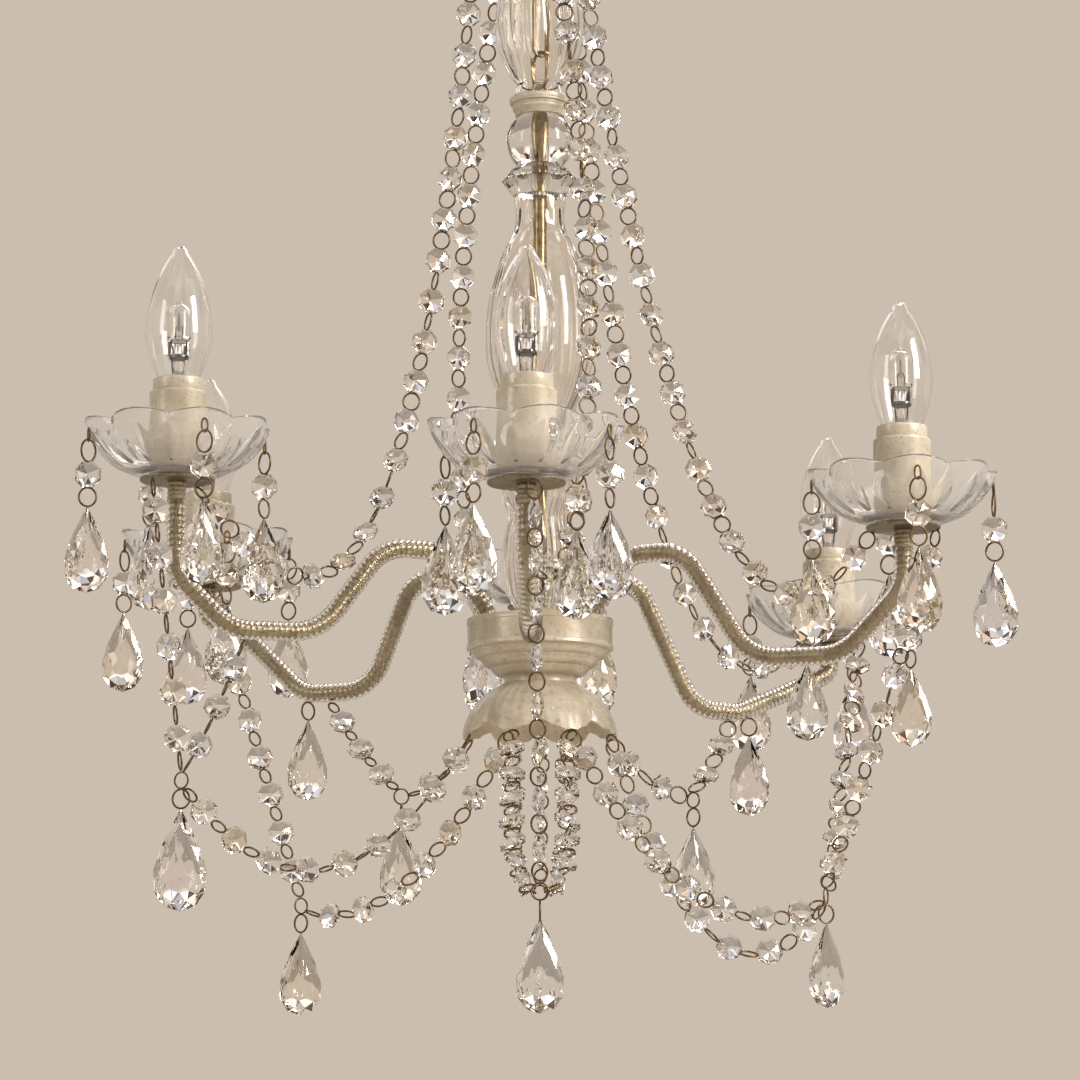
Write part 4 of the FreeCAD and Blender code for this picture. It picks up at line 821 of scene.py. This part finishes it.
def bead_form():
    """An octagon stone: a thin girdle, narrow bezels and eight long facets to a point on each side."""
    rings = [(STONE_REACH / math.cos(math.pi / 8), 0.5), (5.7, 1.5)]
    points = []
    for side in (-1, 1):
        for reach, rise in rings:
            for index in range(8):
                angle = math.pi / 8 + index * math.pi / 4
                points.append((reach * math.sin(angle), side * rise, reach * math.cos(angle)))
    points += [(0, -STONE_DEPTH, 0), (0, STONE_DEPTH, 0)]
    faces = []
    for index in range(8):
        after = (index + 1) % 8
        faces.append((index, after, 16 + after, 16 + index))
        for start, tip in ((0, 32), (16, 33)):
            bezel = (start + after, start + index, start + 8 + index, start + 8 + after)
            facet = (start + 8 + after, start + 8 + index, tip)
            for face in (bezel, facet):
                faces.append(face if start == 0 else face[::-1])
    return points, faces


def almond_form(width, length, depth, count=14):
    """An almond drop cut with rows of kites round a small flat table on each side."""

    def outline_point(turn, scale):
        angle = 2 * math.pi * turn / count
        half_width = width / 1.43 * math.sin(angle) * abs(math.sin(angle / 2)) ** 1.3
        level = length / 2 * (math.cos(angle) - 1)
        centre = -length * 0.62
        return half_width * scale, centre + (level - centre) * scale

    points = []
    for side in (-1, 1):
        for row, (scale, rise) in enumerate(ALMOND_CUTS):
            for index in range(count):
                across, level = outline_point(index + (0.5 if row % 2 else 0), scale)
                points.append((across, side * depth * rise, level))
    faces = []
    block = len(ALMOND_CUTS) * count
    for side_index in range(2):
        start = side_index * block
        for row in range(len(ALMOND_CUTS) - 1):
            for index in range(count):
                after = (index + 1) % count
                a = start + row * count + index
                b = start + row * count + after
                c = start + (row + 1) * count + index
                d = start + (row + 1) * count + after
                pair = [(a, b, c), (b, d, c)] if row % 2 == 0 else [(a, b, d), (a, d, c)]
                for triangle in pair:
                    faces.append(triangle if side_index == 0 else triangle[::-1])
        table = [start + block - count + index for index in range(count)]
        faces.append(tuple(table) if side_index == 0 else tuple(table[::-1]))
    for index in range(count):
        after = (index + 1) % count
        faces.append((index, block + index, block + after, after))
    return points, faces


BEAD = bead_form()


def jittered(form):
    """A form with its corners moved a little, as no two hand-cut stones are alike."""
    points, faces = form
    reach = STONE_JITTER
    moved = [tuple(value + random.uniform(-reach, reach) for value in point) for point in points]
    return moved, faces


def stone_tint():
    tints, weights = zip(*STONE_TINTS)
    return random.choices(tints, weights)[0]


def wire_ring(half_width, half_length, wire=RING_RADIUS):
    line = []
    for index in range(22):
        angle = 2 * math.pi * index / 22
        line.append((half_width * math.sin(angle), 0, half_length * math.cos(angle)))
    return sweep(line, wire, 7, closed=True)


def sort_solids(node):
    """Stones, almonds, links and joining rings of a node, told apart by their size and corners."""
    stones, almonds, links, rings = [], [], [], []
    for place, points in enumerate(solids_in(node)):
        centre = points.mean(axis=0)
        axes = np.linalg.eigh(np.cov((points - centre).T))[1]
        normal = Vector(axes[:, 0]).normalized()
        extent = float(np.ptp((points - centre) @ axes[:, 0]))
        spot = Vector((points.min(axis=0) + points.max(axis=0)) / 2)
        if extent < FLAT_SOLID and len(points) <= LINK_CORNERS:
            links.append((spot, normal, points, place))
        elif extent < FLAT_SOLID:
            rings.append((spot, normal))
        elif float(np.ptp(points[:, 2])) > TALL_SOLID:
            almonds.append((points, Vector((normal.x, normal.y, 0)).normalized()))
        else:
            stones.append((Vector(centre), normal, place))
    return stones, almonds, links, rings


def strand_way(centre, place, links):
    """The way a strand runs through a stone: along the rings that follow and precede it."""
    beside = [link[0] - centre for link in links
              if abs(link[3] - place) < 3 and (link[0] - centre).length < STRAND_REACH]
    if not beside:
        return min((link[0] - centre for link in links), key=lambda reach: reach.length).normalized()
    beside.sort(key=lambda reach: reach.length)
    way = beside[0].normalized()
    opposite = [reach for reach in beside[1:] if reach.normalized().dot(way) < -0.8]
    return (way - opposite[0].normalized()).normalized() if opposite else way


def beside_drops(spot):
    """Whether a place lies under the front or back dish, where the drops pass close by."""
    for arm_name in ("front", "back"):
        low, high = box_of("candle_cup_" + arm_name)
        if math.hypot(spot.x - (low.x + high.x) / 2, spot.y - (low.y + high.y) / 2) < DROP_SWEEP:
            return True
    return False


def cut_stones(node, glass, stones, links):
    """Adds the octagon stones; a strand's stones are turned to show a face. Returns centres and facings."""
    turned = []
    for centre, normal, place in stones:
        way = strand_way(centre, place, links)
        if node.endswith("_strands") and not beside_drops(centre):
            look = random.uniform(-STONE_LOOK, STONE_LOOK)
            normal = Vector((math.sin(look), -math.cos(look), 0.1))
        normal = (normal - way * normal.dot(way)).normalized()
        turned.append((centre, normal))
        glass.add(*jittered(BEAD), frame_of(centre, way.cross(normal) * -1, normal, way), stone_tint())
    return turned


def cut_almonds(glass, almonds):
    for points, normal in almonds:
        top = Vector(points[points[:, 2].argmax()])
        if normal.y > 0:
            normal = -normal
        across = UP.cross(normal) * -1
        width = float(np.ptp(points @ np.array(across)))
        length = float(np.ptp(points[:, 2]))
        form = almond_form(width, length, length * ALMOND_DEPTH)
        glass.add(*jittered(form), frame_of(top, across, normal * -1, UP), stone_tint())


def bend_links(node, metal, links, anchors):
    """Adds a round ring for each link, twisted a little on the stone that it holds."""
    for spot, normal, points, place in links:
        centre, facing = min(anchors, key=lambda anchor: (anchor[0] - spot).length)
        reach = [Vector(point) - spot for point in points]
        way = (centre - spot).normalized()
        first = max(reach, key=lambda p: abs(p.normalized().dot(way)) * p.length)
        first = (first - normal * first.dot(normal)).normalized()
        second = normal.cross(first)
        half_length = max(abs(p.dot(first)) for p in reach)
        half_width = max(abs(p.dot(second)) for p in reach)
        if half_length < SMALL_LINK:
            metal.add(*wire_ring(SMALL_LINK_WIDTH, half_length + SMALL_LINK_SPARE),
                      frame_of(spot, second, normal, first))
            continue
        twist = random.choice(LINK_TWISTS) * random.choice((-1, 1)) + random.uniform(-0.2, 0.2)
        facing = (facing - first * facing.dot(first)).normalized()
        facing = Matrix.Rotation(twist, 3, first) @ facing
        spare = RING_SPARE
        if beside_drops(spot) or node == "lower_strands" and spot.x < 0:
            facing = normal
            spare = 0.0
        across = facing.cross(first).normalized()
        metal.add(*wire_ring(min(half_width, half_length) - RING_INSET + spare, half_length + spare),
                  frame_of(spot, across, facing, first))


def dress(node):
    """Cut stones and round wire rings in place of a node's plain ones."""
    stones, almonds, links, rings = sort_solids(node)
    glass = Mesh()
    metal = Mesh()
    anchors = cut_stones(node, glass, stones, links)
    cut_almonds(glass, almonds)
    for points, normal in almonds:
        anchors.append((Vector(points[points[:, 2].argmax()]) - UP * ALMOND_HANG, normal))
    bend_links(node, metal, links, anchors)
    for spot, normal in rings:
        across = normal.orthogonal().normalized()
        metal.add(*wire_ring(*JOINING_RING), frame_of(spot, across, normal, across.cross(normal) * -1))
    glass.finish(node + "_stones", CRYSTAL, BODY_OF[node], 0, [node])
    metal.finish(node + "_wires", RING_WIRE, BODY_OF[node], 60)


CRYSTAL_NODES = ["upper_strands", "lower_strands"]
CRYSTAL_NODES += ["bobeche_drops_" + arm_name for arm_name in ARM_NAMES]
CRYSTAL_NODES += sorted(node for node in NODES if node.startswith("pendant_"))
for node in CRYSTAL_NODES:
    dress(node)

# ---------------------------------------------------------------- the CAD nodes that stay as they are

CAD_LOOKS = {"centre_rod": AGED_BRASS, "arm_nuts": DARK_METAL, "terminal_block": CERAMIC,
             "lampholders": CERAMIC, "hub_plate": PAINT}
for arm_name in ARM_NAMES:
    CAD_LOOKS["arm_" + arm_name] = ARM_PAINT
for node, material in CAD_LOOKS.items():
    mesh = NODES[node].data
    mesh.materials.clear()
    mesh.materials.append(material)
    mesh.polygons.foreach_set("use_smooth", [True] * len(mesh.polygons))
    mesh.set_sharp_from_angle(angle=math.radians(40))

# ---------------------------------------------------------------- floor, light and camera

FLOOR_LEVEL = -1.9
FLOOR_REACH = 40
BACKDROP = (0.597, 0.515, 0.430)
# Rise of the view's direction where the mirrored wall starts and ends, and where the cards start.
WALL_FOOT = -0.04
WALL_TOP = 0.31
CARDS_FOOT = 0.37
CENTRE = Vector((0, 0, -0.42))
CAMERA_SPOT = (0, -2.17, -0.75)
CAMERA_PITCH = 9.3
CAMERA_LENS = 130.7


def build_floor():
    signs = [(-1, -1), (1, -1), (1, 1), (-1, 1)]
    corners = [(x * FLOOR_REACH, y * FLOOR_REACH, FLOOR_LEVEL) for x, y in signs]
    mesh = bpy.data.meshes.new("floor")
    mesh.from_pydata(corners, [], [(0, 1, 2, 3)])
    floor = bpy.data.objects.new("floor", mesh)
    bpy.context.scene.collection.objects.link(floor)
    material, nodes, links, shader = new_material("pale_floor")
    grain = noise(nodes, links, 3, 3, 0.5)
    tone = ramp(nodes, links, grain.outputs["Fac"], [(0.3, (0.86, 0.78, 0.69)), (0.7, (0.9, 0.82, 0.73))])
    links.new(tone.outputs["Color"], shader.inputs["Base Color"])
    shader.inputs["Roughness"].default_value = 0.9
    mesh.materials.append(material)


def math_node(nodes, links, operation, first, second):
    """A math node on a socket and another socket or a plain number."""
    node = nodes.new("ShaderNodeMath")
    node.operation = operation
    links.new(first, node.inputs[0])
    if isinstance(second, float):
        node.inputs[1].default_value = second
    else:
        links.new(second, node.inputs[1])
    return node.outputs[0]


def background(nodes, colour, strength):
    node = nodes.new("ShaderNodeBackground")
    node.inputs["Color"].default_value = colour + (1.0,)
    node.inputs["Strength"].default_value = strength
    return node


def switched(nodes, links, factor, plain, chosen):
    mix = nodes.new("ShaderNodeMixShader")
    links.new(factor, mix.inputs["Fac"])
    links.new(plain.outputs[0], mix.inputs[1])
    links.new(chosen.outputs[0], mix.inputs[2])
    return mix


def build_world():
    """A plain backdrop. Glass and metal mirror it from just under eye level to about 18 degrees over
    it, and a patchwork of pale and dark cards with faint tints above and below that."""
    world = bpy.data.worlds.new("studio")
    bpy.context.scene.world = world
    world.use_nodes = True
    nodes = world.node_tree.nodes
    links = world.node_tree.links
    nodes.clear()
    output = nodes.new("ShaderNodeOutputWorld")
    path_info = nodes.new("ShaderNodeLightPath")
    where = nodes.new("ShaderNodeTexCoord")
    split = nodes.new("ShaderNodeSeparateXYZ")
    links.new(where.outputs["Generated"], split.inputs["Vector"])
    cells = nodes.new("ShaderNodeTexVoronoi")
    cells.inputs["Scale"].default_value = 4.5
    links.new(where.outputs["Generated"], cells.inputs["Vector"])
    card_value = nodes.new("ShaderNodeSeparateColor")
    links.new(cells.outputs["Color"], card_value.inputs["Color"])
    cards = ramp(nodes, links, card_value.outputs["Red"],
                 [(0.0, (0.03, 0.022, 0.018)), (0.15, (0.11, 0.085, 0.065)), (0.17, (0.3, 0.25, 0.2)),
                  (0.35, (0.5, 0.43, 0.36)), (0.6, (0.68, 0.61, 0.53)), (0.82, (0.92, 0.87, 0.8)),
                  (0.86, (1.25, 1.21, 1.16))])
    fire = ramp(nodes, links, card_value.outputs["Green"],
                [(0.0, (0.82, 0.92, 1.14)), (0.25, grey(1)), (0.6, (1, 0.985, 0.97)),
                 (1.0, (1.18, 0.92, 0.76))])
    coloured = mixed(nodes, links, "MULTIPLY", 1.0, cards.outputs["Color"], fire.outputs["Color"])
    above = ramp(nodes, links, split.outputs["Z"], [(WALL_TOP, grey(0)), (CARDS_FOOT, grey(1))])
    below = math_node(nodes, links, "LESS_THAN", split.outputs["Z"], WALL_FOOT)
    outside = math_node(nodes, links, "MAXIMUM", above.outputs["Color"], below)
    wall_colour = nodes.new("ShaderNodeRGB")
    wall_colour.outputs[0].default_value = BACKDROP + (1.0,)
    seen = background(nodes, BACKDROP, 1.0)
    mirrored = background(nodes, BACKDROP, 1.0)
    links.new(mixed(nodes, links, "MIX", outside, wall_colour.outputs[0], coloured), mirrored.inputs["Color"])
    lit = background(nodes, (0.92, 0.86, 0.79), 0.4)
    through_glass = math_node(nodes, links, "MAXIMUM", path_info.outputs["Is Glossy Ray"],
                              path_info.outputs["Is Transmission Ray"])
    indirect = switched(nodes, links, through_glass, lit, mirrored)
    direct = switched(nodes, links, path_info.outputs["Is Camera Ray"], indirect, seen)
    links.new(direct.outputs[0], output.inputs["Surface"])


def softbox(name, spot, size, watts, colour):
    data = bpy.data.lights.new(name, "AREA")
    data.shape = "RECTANGLE"
    data.size = size[0]
    data.size_y = size[1]
    data.energy = watts
    data.color = colour
    lamp = bpy.data.objects.new(name, data)
    lamp.location = spot
    lamp.rotation_euler = (CENTRE - Vector(spot)).to_track_quat("-Z", "Y").to_euler()
    bpy.context.scene.collection.objects.link(lamp)


def build_camera():
    data = bpy.data.cameras.new("camera")
    data.sensor_width = 36
    data.lens = CAMERA_LENS
    camera = bpy.data.objects.new("camera", data)
    camera.location = CAMERA_SPOT
    camera.rotation_euler = (math.radians(90 + CAMERA_PITCH), 0, 0)
    bpy.context.scene.collection.objects.link(camera)
    bpy.context.scene.camera = camera


build_floor()
build_world()
softbox("key_right", (1.7, -1.1, 0.5), (0.7, 1.3), 54, (1.0, 0.96, 0.9))
softbox("fill_left", (-1.9, -1.2, 0.2), (0.6, 1.4), 10, (1.0, 0.97, 0.94))
softbox("rim_back", (0.6, 1.7, 1.5), (1.4, 0.5), 18, (1.0, 0.97, 0.93))
build_camera()
bpy.context.scene.view_settings.view_transform = "Standard"
